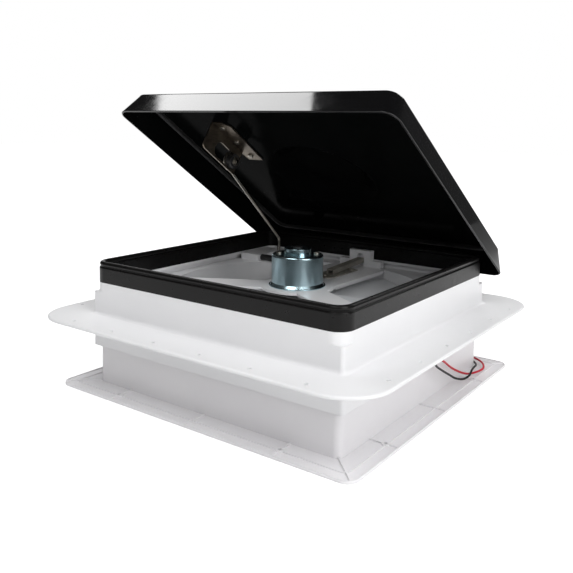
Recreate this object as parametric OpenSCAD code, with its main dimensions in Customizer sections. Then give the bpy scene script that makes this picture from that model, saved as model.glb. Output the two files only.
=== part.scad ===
// Powered caravan roof vent with a tilting lid: garnish below, roof flange and riser above,
// fan motor on a three-armed spider, hinged lid raised by a cranked lift arm.
// Origin at the centre of the footprint on the floor, +Z up, hinge side towards +Y.

/* [Interior garnish] */
// Reach of the square ceiling garnish beyond the sleeve
garnish_reach = 33; // [26:1:42]
// Corner radius of the garnish
garnish_corner_r = 14; // [8:1:24]
// Thickness of the garnish plate
garnish_plate_t = 2.5; // [2:0.1:4]
// Height of the raised outer lip
garnish_lip_h = 3.5; // [3:0.5:8]
// Thickness of lips and ribs on the garnish
garnish_rib_t = 1.6; // [1.2:0.1:3]
// Height of the ribs above the floor
garnish_rib_h = 4; // [3:0.5:8]
// Distance from the garnish edge to the second lip
garnish_bead_inset = 13; // [5:0.5:14]
// Height of the second lip
garnish_bead_h = 3.5; // [3:0.5:6]
// Diameter of the garnish screw holes
garnish_hole_d = 4.5; // [3.5:0.1:5.5]
// Distance between the two screw holes of one side
garnish_hole_pitch = 230; // [180:2:260]
// Distance from the garnish edge to a screw hole
garnish_hole_inset = 14.5; // [13:0.5:18]
// Diameter of the screw bosses
garnish_boss_d = 9; // [8:0.5:12]

/* [Sleeve] */
// Gap between the sleeve and the collar round it
sleeve_gap = 2; // [0.5:0.25:5]
// Wall of the sleeve
sleeve_wall = 2.5; // [2:0.1:4]
// Outer corner radius of the sleeve
sleeve_corner_r = 8; // [6:0.5:12]

/* [Roof base] */
// Reach of the square roof flange beyond the riser
flange_reach = 52; // [44:1:62]
// Corner radius of the roof flange
flange_corner_r = 50; // [30:1:60]
// Thickness of the roof flange
flange_t = 4; // [3:0.2:6]
// Height of the underside of the roof flange
flange_z = 83.6; // [78:0.2:90]
// Outer width of the square collar and riser
box_w = 354; // [320:1:400]
// Wall of collar and riser
box_wall = 3; // [2.5:0.1:3.4]
// Outer corner radius of collar and lower riser
box_corner_r = 4; // [3.5:0.5:8]
// Depth of the collar below the flange
collar_h = 35.6; // [25:0.2:45]
// Height of the riser above the flange
riser_h = 38.4; // [36:0.2:46]
// Size of the fillet between flange and riser
riser_fillet = 4; // [2:0.5:6]
// Height of the rounded upper part of the riser
upper_h = 12; // [10:0.5:14]
// Corner radius of the upper riser
upper_corner_r = 18; // [15:1:24]
// Width of the inward seat for the rim
seat_w = 9.5; // [9:0.1:12]
// Thickness of the inward seat
seat_t = 3; // [2:0.2:4]
// Pitch of the roof screw holes
flange_hole_pitch = 65; // [55:1:68]
// Number of roof screw holes on one side
flange_hole_n = 6; // [4:2:6]
// Diameter of the roof screw holes
flange_hole_d = 4.2; // [3.5:0.1:5.5]
// Distance from the flange edge to a roof screw hole
flange_hole_inset = 12.5; // [8:0.5:16]
// Side of the square corner post under the fan shroud
post_w = 18; // [16:1:22]
// Height of the corner post
post_h = 14; // [8:1:16]

/* [Rim] */
// Distance of the rim's outer face inside the riser's face
rim_inset = 0; // [0:0.25:2]
// Width of the rim wall
rim_wall = 7.5; // [6:0.25:9]
// Height of the rim
rim_h = 25; // [20:0.5:30]
// Height of the plain lower band
rim_band_h = 18.5; // [15:0.5:19]
// Radius of the band's top edge
rim_edge_r = 1.5; // [1:0.25:2.5]
// Diameter of the round bead on the band
rim_bead_d = 6.4; // [5:0.2:7]
// Width of the neck under the bead
rim_neck_w = 4.4; // [3:0.2:5]

/* [Fan shroud] */
// Distance from the riser's inner face to the round fan duct
duct_inset = 15; // [12:0.5:24]
// Wall of the fan duct
duct_wall = 2.5; // [2:0.1:4]
// Height of the fan duct
duct_h = 54; // [46:1:58]
// Thickness of the ledge and the spider
ledge_t = 3; // [2.5:0.25:5]
// Depth of the ledge below the riser's top
ledge_drop = 10; // [9:0.5:10.5]
// Radius of the spider's hub plate
spider_hub_r = 47; // [42:1:54]
// Width of the two front arms
spider_arm_w = 40; // [24:1:50]
// Width of the rear arm
spider_rear_w = 84; // [60:1:92]
// Angle of the front arms below the left-right line
spider_arm_deg = 30; // [25:1:40]
// Height of the ribs under the arms
spider_rib_h = 3; // [2:0.5:3.5]

/* [Motor] */
// Diameter of the motor can
motor_d = 65; // [56:1:68]
// Height of the motor can
motor_h = 40; // [30:1:42]
// Diameter of the rolled foot of the can
motor_foot_d = 72; // [68:1:78]
// Height of the rolled foot
motor_foot_h = 1.6; // [1:0.2:3]
// Radius of the can's top edge
motor_edge_r = 2.5; // [1:0.5:5]
// Diameter of the bearing boss on top
motor_boss_d = 34; // [26:1:36]
// Height of the bearing boss
motor_boss_h = 7.5; // [5:0.5:11]
// Diameter of the black bearing cap
motor_cap_d = 12; // [8:0.5:16]
// Height of the bearing cap
motor_cap_h = 1.6; // [1.4:0.2:3.4]
// Radius of the edges of boss and cap
motor_round_r = 0.6; // [0.3:0.1:1.2]
// Diameter of the motor shaft
motor_shaft_d = 6; // [5:0.5:8]
// Radius of the ring of screws on the can
motor_screw_r = 23.5; // [19:0.5:25]
// Diameter of the motor screws
motor_screw_d = 4; // [3:0.5:5]
// Depth of the motor screws in the can
motor_screw_l = 8; // [5:0.5:9]
// Radius of the ring of screws under the can
mount_screw_r = 22; // [18:0.5:26]

/* [Fan] */
// Diameter of the fan hub
fan_hub_d = 70; // [60:1:90]
// Height of the fan hub
fan_hub_h = 24; // [18:1:30]
// Wall of the fan hub
fan_hub_wall = 2.5; // [2:0.25:4]
// Clear height between spider ribs and fan hub
fan_gap = 3; // [2:0.5:6]
// Number of fan blades
fan_blades_n = 6; // [4:1:7]
// Clearance between blade tip and duct
fan_tip_gap = 5; // [3:0.5:8]
// Chord of a blade at the root
blade_root_c = 46; // [30:1:48]
// Chord of a blade at the tip
blade_tip_c = 74; // [50:1:80]
// Pitch of a blade at the root
blade_root_deg = 26; // [20:1:28]
// Pitch of a blade at the tip
blade_tip_deg = 14; // [10:1:18]
// Rise of the blade's camber
blade_camber = 3.5; // [1:0.25:5]
// Thickness of a blade
blade_t = 2; // [1.6:0.1:3]

/* [Wire channel] */
// Outer width of the steel wire channel
channel_w = 11; // [9:0.5:13]
// Outer height of the wire channel
channel_h = 6; // [5:0.5:7]
// Sheet thickness of the channel
channel_t = 1.4; // [1:0.1:2]
// Width of the channel's flat foot
channel_foot_w = 30; // [29:1:34]
// Length of the channel's flat foot
channel_foot_l = 72; // [50:1:80]
// Gap between the motor foot and the channel's foot
channel_gap = 18; // [14:1:24]
// Width of the socket block's base
socket_base_w = 67; // [50:1:80]
// Height of the socket block's base
socket_base_h = 9; // [7:0.5:9.5]
// Width of the socket block's tower
socket_tower_w = 35; // [28:1:44]
// Height of the socket block's tower
socket_tower_h = 23; // [21:0.5:28]
// Depth of the socket block's tower
socket_tower_d = 9; // [8:0.5:14]

/* [Lid] */
// Overhang of the lid's lip beyond the rim
lid_overhang = 18; // [14:0.1:20]
// Corner radius of the lid at the lip
lid_corner_r = 17; // [15:1:24]
// Height of the lid's skirt
lid_h = 32.5; // [32:0.5:40]
// Inward lean of the skirt from lip to crown
lid_draft = 7.5; // [5:0.5:9]
// Wall of the lid
lid_wall = 2.5; // [2:0.1:3]
// Radius of the rounded crown edge
lid_crown_r = 5; // [3:0.5:6]
// Foot radius of the motor dome in the lid
dome_r = 76; // [72:1:80]
// Height of the motor dome
dome_h = 18; // [17:0.5:24]
// Width of the dome's sloping flank
dome_flank = 30; // [20:1:32]
// Opening angle of the lid as shown
lid_open = 33; // [20:1:40]
// Gap between the closed seal and the rim
seal_gap = 0.3; // [0.2:0.1:0.6]
// Width of the lid seal
seal_w = 6; // [4:0.5:7]

/* [Hinge] */
// Distance of the hinge axis behind the riser
hinge_back = 10.5; // [9:0.5:14]
// Height of the hinge axis below the riser's top
hinge_drop = 16; // [14:0.5:20]
// Diameter of the hinge pin
hinge_pin_d = 5; // [4:0.5:6]
// Outer diameter of the hinge knuckles
hinge_knuckle_d = 11; // [9.5:0.5:12]
// Width of the lid's knuckle
hinge_mid_w = 18; // [14:1:24]
// Width of each outer knuckle
hinge_side_w = 11; // [8:1:14]
// Side gap between knuckles
hinge_side_gap = 0.4; // [0.3:0.1:0.8]
// Distance between the two hinges
hinge_pitch = 240; // [180:2:280]
// Thickness of the hinge leaf
hinge_leaf_t = 2.4; // [2:0.2:3]
// Thickness of the lid lug
hinge_lug_t = 4; // [3:0.25:5]
// Leaf below the knuckle
leaf_below = 9; // [7:0.5:12]
// Leaf above the knuckle
leaf_above = 2; // [1:0.5:3]

/* [Lift mechanism] */
// Diameter of the lift arm's rod
arm_d = 5; // [4:0.5:6]
// Bend radius of the arm's rod
arm_bend_r = 6; // [5:0.5:9]
// Rise of the arm's upright part above its pivot
arm_rise = 31.5; // [28:0.5:34]
// Set of the arm's upright part behind its pivot
arm_set = 2; // [0:0.5:4]
// Drop of the arm's upper bend below the slide pin
arm_neck = 12.5; // [11:0.5:15]
// Set of the arm's upper bend behind the slide pin
arm_neck_set = 6.5; // [4:0.5:8]
// Distance of the arm's plane from the bearing's end
arm_reach = 8; // [6:0.5:10]
// Distance of the arm's pivot in front of the riser's back
arm_pivot_in = 77; // [73:1:83]
// Height of the arm's pivot above the ledge
arm_pivot_h = 5; // [4.6:0.1:6]
// Distance from the lid's back lip to the slide pin when open
pin_s = 263.3; // [258:0.1:267]
// Height of the slot's middle line above the lip plane
pin_h = 7; // [5:0.5:9]
// Diameter of the slide roller in the slot
bush_d = 19; // [16:0.5:20]
// Length of the slide roller
bush_l = 8.5; // [6:0.5:10]
// Diameter of the washer between arm and bracket
washer_d = 25; // [22:0.5:26]
// Diameter of the washer outside the roller
washer_out_d = 12; // [10:0.5:16]
// Thickness of the washers
washer_t = 1.6; // [1:0.2:2]
// Clearance between bush and slot on each side
slot_gap = 0.6; // [0.5:0.1:0.9]
// Length of the slot beyond the bush's open place
slot_run = 27.5; // [22:0.5:30]
// Sheet thickness of the lid bracket
bracket_t = 2; // [1.5:0.25:2.5]
// Width of the bracket's screwed plate
bracket_w = 25; // [20:1:30]
// Length of the bracket's plate
bracket_l = 89; // [84:1:92]
// Length of the bracket's web
web_l = 72; // [68:1:76]
// Depth of the bracket's web
web_h = 36; // [34:0.5:37]
// Radius of the web's lower front corner
web_corner_r = 7; // [4:1:9]
// Plate behind the slide pin's open place
bracket_behind = 30; // [26:1:34]
// Web behind the slide pin's open place
web_behind = 12.8; // [12.5:0.1:16]
// Cut at the bracket plate's front corner
bracket_cut = 10; // [6:1:16]

/* [Operator and crank] */
// Gap between the operator block and the rim's seat
operator_gap = 0.5; // [0.3:0.1:2]
// Width of the operator block
operator_w = 33; // [30:1:33]
// Depth of the operator block
operator_l = 62; // [56:1:63]
// Height of the operator block
operator_h = 9.4; // [9:0.1:9.6]
// Outer diameter of the dark bearing bush
bearing_d = 9; // [8:0.25:9]
// Length of the bearing bush
bearing_l = 22; // [14:1:24]
// Diameter of the crank shaft
crank_d = 6; // [5:0.5:8]
// Distance of the crank from the arm pivot towards the back
crank_back = 30; // [24:1:36]
// Diameter of the crank knob
knob_d = 34; // [28:1:40]
// Height of the crank knob
knob_h = 12; // [8:0.5:13]

/* [Screen] */
// Height of the underside of the screen frame
screen_z = 18; // [16:0.5:24]
// Thickness of the screen frame
screen_t = 3; // [2:0.25:5]
// Border of the frame round the screen opening
screen_border = 20.5; // [20:0.5:40]
// Pitch of the screen mesh
mesh_pitch = 22; // [20:0.5:30]
// Width of a mesh strand
mesh_w = 1.6; // [1.2:0.1:2.4]
// Width of the ledge that carries the frame
screen_ledge_w = 3; // [2:0.25:5]

/* [Switch] */
// Width of the switch body
switch_w = 16; // [14:0.5:20]
// Length of the switch body
switch_l = 24; // [22:0.5:30]
// Height of the switch body above the frame
switch_h = 16; // [14:1:24]
// Radius of the rocker
rocker_r = 8; // [6:0.25:9]
// Width of the rocker
rocker_w = 10; // [8:0.5:12]

/* [Leads] */
// Diameter of each lead
lead_d = 2.6; // [2:0.1:3]
// Height of the lead grommet
grommet_z = 64; // [58:1:72]
// Distance of the grommet in front of the middle
grommet_y = 15; // [5:1:25]
// Body diameter of the grommet
grommet_d = 9; // [8:0.5:12]
// Flange diameter of the grommet
grommet_flange_d = 13; // [12:0.5:16]

/* [Clearances] */
// Radial running clearance of shafts and pins
run_gap = 0.05; // [0.02:0.01:0.08]
// Loose clearance between separate mouldings
fit_gap = 0.3; // [0.2:0.05:0.5]
// Clearance of screw shanks in their holes
screw_gap = 0.1; // [0.05:0.05:0.2]

/* [Hidden] */
$fn = 72;
eps = 0.01;
white = "#e8e8ea";
black = "#222222";
steel = "#9a958c";
zinc = "#7f949b";

// Heights of the fixed stack
flange_top = flange_z + flange_t;
box_bottom = flange_z - collar_h;
box_top = flange_top + riser_h;
step_z = box_top - upper_h;
ledge_z = box_top - ledge_drop;
ledge_under = ledge_z - ledge_t;
rim_top = box_top + rim_h;
sleeve_top = ledge_under - post_h - fit_gap;

// Plan sizes of the fixed stack
box_in_w = box_w - 2 * box_wall;
flange_w = box_w + 2 * flange_reach;
rim_w = box_w - 2 * rim_inset;
rim_corner_r = upper_corner_r - rim_inset;
sleeve_w = box_in_w - 2 * sleeve_gap;
garnish_w = sleeve_w + 2 * garnish_reach;
duct_d = box_in_w - 2 * duct_inset;
upper_in_r = upper_corner_r - box_wall;
ledge_w = box_in_w - 2 * fit_gap;
ledge_corner_r = upper_in_r - fit_gap;
sleeve_in_w = sleeve_w - 2 * sleeve_wall;
sleeve_in_r = sleeve_corner_r - sleeve_wall;
duct_r = duct_d / 2;
post_xy = box_in_w / 2 - post_w / 2;
shroud_screw_xy = post_xy - 1;
seat_in = box_w / 2 - seat_w;

// Motor and fan stack
can_top = ledge_z + motor_h;
boss_top = can_top + motor_boss_h;
rib_under = ledge_under - spider_rib_h;
hub_top = rib_under - fan_gap;
hub_under = hub_top - fan_hub_h;
shaft_bore_h = 20;
nut_h = 5;
nut_d = 11;
hub_boss_d = 16;
screw_head_h = 2.2;
screw_head_k = 1.9;

// Lid in its closed place
lid_w = rim_w + 2 * lid_overhang;
hinge_y = box_w / 2 + hinge_back;
hinge_z = box_top - hinge_drop;
lip_z = box_top;
panel_in_h = lid_h - lid_wall;
panel_z = lip_z + panel_in_h;
lid_back = lid_w / 2;
skirt_lean = lid_draft / (lid_h - lid_crown_r);
rim_mid_w = rim_w - rim_wall;
seal_h = panel_z - rim_top - seal_gap;

// Lift mechanism in its open place
operator_x0 = -(seat_in - operator_gap);
operator_x1 = operator_x0 + operator_w;
arm_x = -operator_x1 - bearing_l - arm_reach;
arm_pivot_y = box_w / 2 - arm_pivot_in;
arm_pivot_z = ledge_z + arm_pivot_h;
web_x = -arm_x + arm_d / 2 + washer_t + fit_gap;
pin_closed_frame = [lid_back - pin_s, lip_z + pin_h];
pin_open = [
  hinge_y + (pin_closed_frame[0] - hinge_y) * cos(lid_open) + (pin_closed_frame[1] - hinge_z) * sin(lid_open),
  hinge_z - (pin_closed_frame[0] - hinge_y) * sin(lid_open) + (pin_closed_frame[1] - hinge_z) * cos(lid_open)
];
bracket_y0 = lid_back - pin_s + bracket_behind;
web_y0 = lid_back - pin_s + web_behind;
slot_r = bush_d / 2 + slot_gap;
slot_y0 = lid_back - pin_s;

// Operator block and crank
operator_y0 = arm_pivot_y - 10;
crank_x = operator_x0 + 0.55 * operator_w;
crank_y = arm_pivot_y + crank_back;
knob_z = 3;
crank_bore_h = operator_h - 2.4;

// Wire channel
channel_y0 = motor_foot_d / 2 + channel_gap;
channel_foot_y1 = channel_y0 + channel_foot_l;
socket_y1 = min(seat_in, rim_w / 2 - rim_wall) - fit_gap;
socket_y0 = socket_y1 - socket_tower_d;
channel_end_y = socket_y0 + 3;
channel_end_z = ledge_z + socket_base_h + 3;
channel_rise_y = channel_y0 + 24;
channel_rise_z = ledge_z + channel_t;
channel_deg = atan2(channel_end_z - channel_h - channel_rise_z, channel_end_y - channel_rise_y);
channel_len = (channel_end_y - channel_rise_y) / cos(channel_deg);

// Screen and switch
screen_d = sleeve_in_w - 2 * screen_border;
mesh_r = screen_d / 2 + 3;
screen_top = screen_z + screen_t;
switch_xy = [sleeve_in_w / 2 - 30, -(sleeve_in_w / 2 - 32)];
bezel_h = 2;
bezel_w = 3;
rocker_z = screen_z + 2.5;
rocker_pin_d = 2.4;

// Leads, from the grommet's face to the bare ends behind the sleeve
grommet_flange_t = 1.6;
grommet_face_x = box_w / 2 + grommet_flange_t;
lead_pitch = 4.4;
red_route = [
  [181, -13, 64], [184, -12, 64], [188, 0, 61], [187, 20, 53], [184, 40, 44],
  [182, 60, 33], [181, 80, 23], [182, 100, 14], [184, 118, 8], [189, 136, 7],
  [190, 152, 7], [184, 168, 7], [174, 180, 7], [160, 188, 7], [140, 190, 7]
];
black_route = [
  [181, -17, 64], [184, -17, 64], [189, -12, 60], [189, 0, 53], [187, 16, 44],
  [185, 36, 34], [184, 56, 24], [184, 76, 14], [186, 96, 8], [188, 110, 9],
  [186, 124, 12], [183, 140, 11], [180, 156, 8], [178, 166, 7], [166, 178, 7], [150, 183, 7]
];
route_box_w = 354;
lead_sides = 8;
lead_steps = 2;

// Plain rounded square
module rounded_square(w, r) {
  square([w - 2 * r, w], center = true);
  square([w, w - 2 * r], center = true);
  for (sx = [-1, 1], sy = [-1, 1])
    translate([sx * (w / 2 - r), sy * (w / 2 - r)]) circle(r);
}

// Rounded square with a rounded square hole
module square_ring(w, r, wall) {
  difference() {
    rounded_square(w, r);
    rounded_square(w - 2 * wall, max(r - wall, 0.5));
  }
}

// Rounded rectangle
module rounded_rect(w, l, r) {
  square([w - 2 * r, l], center = true);
  square([w, l - 2 * r], center = true);
  for (sx = [-1, 1], sy = [-1, 1])
    translate([sx * (w / 2 - r), sy * (l / 2 - r)]) circle(r);
}

// Profile carried round a rounded square, x measured outwards from its outer face
module perimeter_sweep(w, r) {
  for (a = [0 : 90 : 270]) {
    rotate(a) translate([w / 2 - r, w / 2 - r, 0])
      rotate_extrude(angle = 90) translate([r, 0]) children();
    rotate(a) translate([w / 2, 0, 0]) rotate([90, 0, 0])
      linear_extrude(w - 2 * r, center = true) children();
  }
}

// Pan-head screw: head above z = 0, shank below
module pan_screw(d, l) {
  rotate_extrude() {
    square([d / 2, screw_head_h]);
    translate([0, -l]) square([d / 2, l]);
    square([d * screw_head_k / 2, screw_head_h - 0.6]);
    square([d * screw_head_k / 2 - 0.6, screw_head_h]);
    translate([d * screw_head_k / 2 - 0.6, screw_head_h - 0.6]) circle(0.6);
  }
}

// Ring of points on a rounded square
lid_seg = 8;
function square_loop(half, r, z) = [
  for (q = [0 : 3], i = [0 : lid_seg])
    let (a = 90 * q + 90 * i / lid_seg,
         cx = (q == 0 || q == 3 ? 1 : -1) * (half - r),
         cy = (q < 2 ? 1 : -1) * (half - r))
      [cx + r * cos(a), cy + r * sin(a), z]
];

// Closed skin through loops of equal length
module skin(loops) {
  n = len(loops[0]);
  m = len(loops);
  points = [for (l = loops) for (p = l) p];
  sides = [
    for (j = [0 : m - 2], i = [0 : n - 1], k = [0, 1])
      k == 0
        ? [j * n + i, (j + 1) * n + i, j * n + (i + 1) % n]
        : [j * n + (i + 1) % n, (j + 1) * n + i, (j + 1) * n + (i + 1) % n]
  ];
  last = (m - 1) * n;
  caps = [
    for (i = [0 : n / 2 - 2], f = [
      [i, i + 1, n - 1 - i], [i + 1, n - 2 - i, n - 1 - i],
      [last + n - 1 - i, last + i + 1, last + i], [last + n - 1 - i, last + n - 2 - i, last + i + 1]
    ]) f
  ];
  polyhedron(points = points, faces = concat(sides, caps));
}

// Lid's open place about the hinge axis
module on_lid() {
  translate([0, hinge_y, hinge_z]) rotate([-lid_open, 0, 0])
    translate([0, -hinge_y, -hinge_z]) children();
}

// Rows of places along the four sides at a distance from the middle
module on_sides(places, dist) {
  for (a = [0 : 90 : 270], t = places)
    rotate(a) translate([dist, t, 0]) children();
}

module interior_garnish() {
  hole_dist = garnish_w / 2 - garnish_hole_inset;
  rib_from = sleeve_w / 2 - sleeve_wall / 2;
  rib_len = garnish_w / 2 - garnish_rib_t / 2 - rib_from;
  bead_w = garnish_w - 2 * garnish_bead_inset;
  hole_places = [-garnish_hole_pitch / 2, garnish_hole_pitch / 2];
  corner_from = sleeve_w / 2 - sleeve_corner_r / 2;
  corner_len = (garnish_w / 2 - garnish_corner_r * 0.35 - corner_from) * sqrt(2);
  color(white) difference() {
    union() {
      linear_extrude(garnish_plate_t) square_ring(garnish_w, garnish_corner_r, (garnish_w - sleeve_in_w) / 2);
      linear_extrude(garnish_lip_h) square_ring(garnish_w, garnish_corner_r, garnish_rib_t);
      linear_extrude(garnish_bead_h)
        square_ring(bead_w, garnish_corner_r - garnish_bead_inset / 2, garnish_rib_t);
      linear_extrude(sleeve_top) square_ring(sleeve_w, sleeve_corner_r, sleeve_wall);
      translate([0, 0, screen_z - screen_ledge_w])
        linear_extrude(screen_ledge_w)
          square_ring(sleeve_w - sleeve_wall, sleeve_corner_r - sleeve_wall / 2, sleeve_wall / 2 + screen_ledge_w);
      on_sides(hole_places, hole_dist) cylinder(d = garnish_boss_d, h = garnish_rib_h);
      on_sides(concat(hole_places, [0]), rib_from)
        translate([0, -garnish_rib_t / 2, 0]) cube([rib_len, garnish_rib_t, garnish_rib_h]);
      for (a = [45 : 90 : 315])
        rotate(a) translate([corner_from * sqrt(2), -garnish_rib_t / 2, 0])
          cube([corner_len, garnish_rib_t, garnish_rib_h]);
    }
    on_sides(hole_places, hole_dist)
      translate([0, 0, -1]) cylinder(d = garnish_hole_d, h = garnish_rib_h + 2);
  }
}

module screen_frame() {
  frame_w = sleeve_in_w - 2 * fit_gap;
  color(white) difference() {
    union() {
      translate([0, 0, screen_z]) linear_extrude(screen_t)
        rounded_square(frame_w, sleeve_in_r - fit_gap);
      translate([0, 0, screen_top]) cylinder(r = mesh_r + fit_gap + 2.5, h = 2.5);
      translate([crank_x, crank_y, screen_top]) cylinder(d = crank_d + 8, h = 6);
    }
    translate([0, 0, screen_z - 1]) cylinder(d = screen_d, h = screen_t + 2);
    translate([0, 0, screen_top]) cylinder(r = mesh_r + fit_gap, h = 4);
    translate([crank_x, crank_y, screen_z - 1]) cylinder(d = crank_d + 2 * run_gap, h = screen_t + 9);
    translate([switch_xy[0], switch_xy[1], screen_z - 1])
      linear_extrude(screen_t + 2) square([switch_w + 2 * fit_gap, switch_l + 2 * fit_gap], center = true);
  }
}

module insect_screen() {
  lines = floor(mesh_r / mesh_pitch);
  color("#8f9294") translate([0, 0, screen_top]) linear_extrude(1.2) {
    difference() {
      circle(mesh_r);
      circle(mesh_r - 3.5);
    }
    for (a = [0, 90], i = [-lines : lines])
      rotate(a) translate([i * mesh_pitch, 0])
        square([mesh_w, 2 * sqrt(pow(mesh_r - 1, 2) - pow(i * mesh_pitch, 2))], center = true);
  }
}

module switch_body() {
  color(black) translate([switch_xy[0], switch_xy[1], 0]) difference() {
    union() {
      translate([0, 0, screen_z - bezel_h]) linear_extrude(bezel_h)
        rounded_rect(switch_w + 2 * bezel_w, switch_l + 2 * bezel_w, 2);
      translate([0, 0, screen_z - eps]) linear_extrude(screen_t + switch_h)
        square([switch_w, switch_l], center = true);
    }
    translate([0, 0, rocker_z]) rotate([0, 90, 0])
      cylinder(r = rocker_r + fit_gap, h = rocker_w + 2 * fit_gap, center = true);
    translate([0, 0, rocker_z]) rotate([0, 90, 0])
      cylinder(d = rocker_pin_d + 2 * run_gap, h = rocker_w + 4.6, center = true);
  }
}

module switch_rocker() {
  color("#3a3a3c") translate([switch_xy[0], switch_xy[1], rocker_z]) {
    difference() {
      rotate([0, 90, 0]) cylinder(r = rocker_r, h = rocker_w, center = true);
      for (s = [-1, 1])
        rotate([s * 14, 0, 0]) translate([0, s * rocker_r, -rocker_r - 3.2])
          cube([rocker_w + 2, 2 * rocker_r, 8], center = true);
    }
    rotate([0, 90, 0]) cylinder(d = rocker_pin_d, h = rocker_w + 4, center = true);
  }
}

// Hollow corner in short flats, let into wall and plate
module foot_fillet(f) {
  polygon(concat(
    [[-1, -1], [f, -1], [f, 0]],
    [for (a = [12 : 22 : 78]) [f - f * cos(90 - a) * 0.98, f - f * sin(90 - a) * 0.98]],
    [[0, f], [-1, f]]
  ));
}

module roof_base() {
  hole_dist = flange_w / 2 - flange_hole_inset;
  hole_places = [for (i = [0 : flange_hole_n - 1]) (i - (flange_hole_n - 1) / 2) * flange_hole_pitch];
  leaf_screw_z = hinge_z - hinge_knuckle_d / 2 - leaf_below * 4 / 9;
  color(white) difference() {
    union() {
      translate([0, 0, flange_z]) linear_extrude(flange_t)
        square_ring(flange_w - flange_t, flange_corner_r - flange_t / 2, (flange_w - flange_t - box_in_w) / 2);
      translate([0, 0, flange_z + flange_t / 2])
        perimeter_sweep(flange_w - flange_t, flange_corner_r - flange_t / 2) circle(d = flange_t);
      translate([0, 0, box_bottom]) linear_extrude(step_z - box_bottom)
        square_ring(box_w, box_corner_r, box_wall);
      translate([0, 0, flange_top]) perimeter_sweep(box_w, box_corner_r) foot_fillet(riser_fillet);
      translate([0, 0, step_z - box_wall]) linear_extrude(box_wall) difference() {
        rounded_square(box_w, box_corner_r);
        rounded_square(box_in_w, upper_in_r);
      }
      translate([0, 0, step_z - eps]) linear_extrude(upper_h + eps)
        square_ring(box_w, upper_corner_r, box_wall);
      translate([0, 0, box_top - seat_t]) linear_extrude(seat_t)
        square_ring(box_w, upper_corner_r, seat_w);
      for (sx = [-1, 1], sy = [-1, 1])
        translate([sx * post_xy, sy * post_xy, ledge_under - post_h])
          linear_extrude(post_h) square(post_w + 2 * eps, center = true);
    }
    on_sides(hole_places, hole_dist)
      translate([0, 0, flange_z - 1]) cylinder(d = flange_hole_d, h = flange_t + 2);
    for (sx = [-1, 1], sy = [-1, 1])
      translate([sx * shroud_screw_xy, sy * shroud_screw_xy, ledge_under - post_h - 1])
        cylinder(d = motor_screw_d + 2 * screw_gap, h = post_h + 2);
    translate([box_w / 2 - box_wall - 1, -grommet_y, grommet_z]) rotate([0, 90, 0])
      cylinder(d = grommet_d + 2 * screw_gap, h = box_wall + 2);
    for (sx = [-1, 1], t = [-1, 1])
      translate([sx * hinge_pitch / 2 + t * hinge_mid_w * 0.8, box_w / 2 + 1, leaf_screw_z])
        rotate([90, 0, 0]) cylinder(d = motor_screw_d + 2 * screw_gap, h = box_wall + 2);
  }
}

module rim_profile() {
  bead_r = rim_bead_d / 2;
  translate([-rim_wall, 0]) square([rim_wall, rim_band_h - rim_edge_r]);
  translate([-rim_wall, 0]) square([rim_wall - rim_edge_r, rim_band_h]);
  translate([-rim_edge_r, rim_band_h - rim_edge_r]) circle(rim_edge_r);
  translate([-(rim_wall + rim_neck_w) / 2, 0]) square([rim_neck_w, rim_h - bead_r]);
  translate([-rim_wall / 2, rim_h - bead_r]) circle(bead_r);
}

module rim_frame() {
  color(black) translate([0, 0, box_top]) perimeter_sweep(rim_w, rim_corner_r) rim_profile();
}

// Plan of the ledge with hub, arms and all holes
module shroud_plan() {
  arm_r = duct_r + duct_wall / 2;
  difference() {
    union() {
      difference() {
        rounded_square(ledge_w, ledge_corner_r);
        circle(duct_r);
      }
      circle(spider_hub_r);
      intersection() {
        circle(arm_r);
        union() {
          for (a = [180 + spider_arm_deg, 360 - spider_arm_deg])
            rotate(a) translate([0, -spider_arm_w / 2]) square([arm_r, spider_arm_w]);
          translate([-spider_rear_w / 2, 0]) square([spider_rear_w, arm_r]);
        }
      }
    }
    circle(d = motor_shaft_d + 6);
    for (a = [90 : 120 : 330])
      rotate(a) translate([mount_screw_r, 0]) circle(d = motor_screw_d + 2 * screw_gap);
    for (sx = [-1, 1], sy = [-1, 1])
      translate([sx * shroud_screw_xy, sy * shroud_screw_xy]) circle(d = motor_screw_d + 2 * screw_gap);
    translate([crank_x, crank_y]) circle(d = crank_d + 2);
    for (p = operator_screw_places()) translate(p) circle(d = motor_screw_d + 2 * screw_gap);
    for (p = channel_screw_places()) translate(p) circle(d = motor_screw_d + 2 * screw_gap);
  }
}

module fan_shroud() {
  color(white) {
    translate([0, 0, ledge_under]) linear_extrude(ledge_t) shroud_plan();
    translate([0, 0, ledge_z - duct_h]) linear_extrude(duct_h) difference() {
      circle(duct_r + duct_wall);
      circle(duct_r);
    }
    for (a = [180 + spider_arm_deg, 360 - spider_arm_deg], s = [-1, 1])
      rotate(a) translate([spider_hub_r - 6, s * (spider_arm_w / 2 - 3) - 1, rib_under])
        cube([duct_r - spider_hub_r + 7, 2, spider_rib_h + eps]);
    for (s = [-1, 1])
      translate([s * (spider_rear_w / 2 - 3) - 1, spider_hub_r * 0.6, rib_under])
        cube([2, duct_r - spider_hub_r * 0.6 - 4, spider_rib_h + eps]);
  }
}

module shroud_screws() {
  color(steel) for (sx = [-1, 1], sy = [-1, 1])
    translate([sx * shroud_screw_xy, sy * shroud_screw_xy, ledge_z])
      pan_screw(motor_screw_d, ledge_t + post_h - 2);
}

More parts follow.
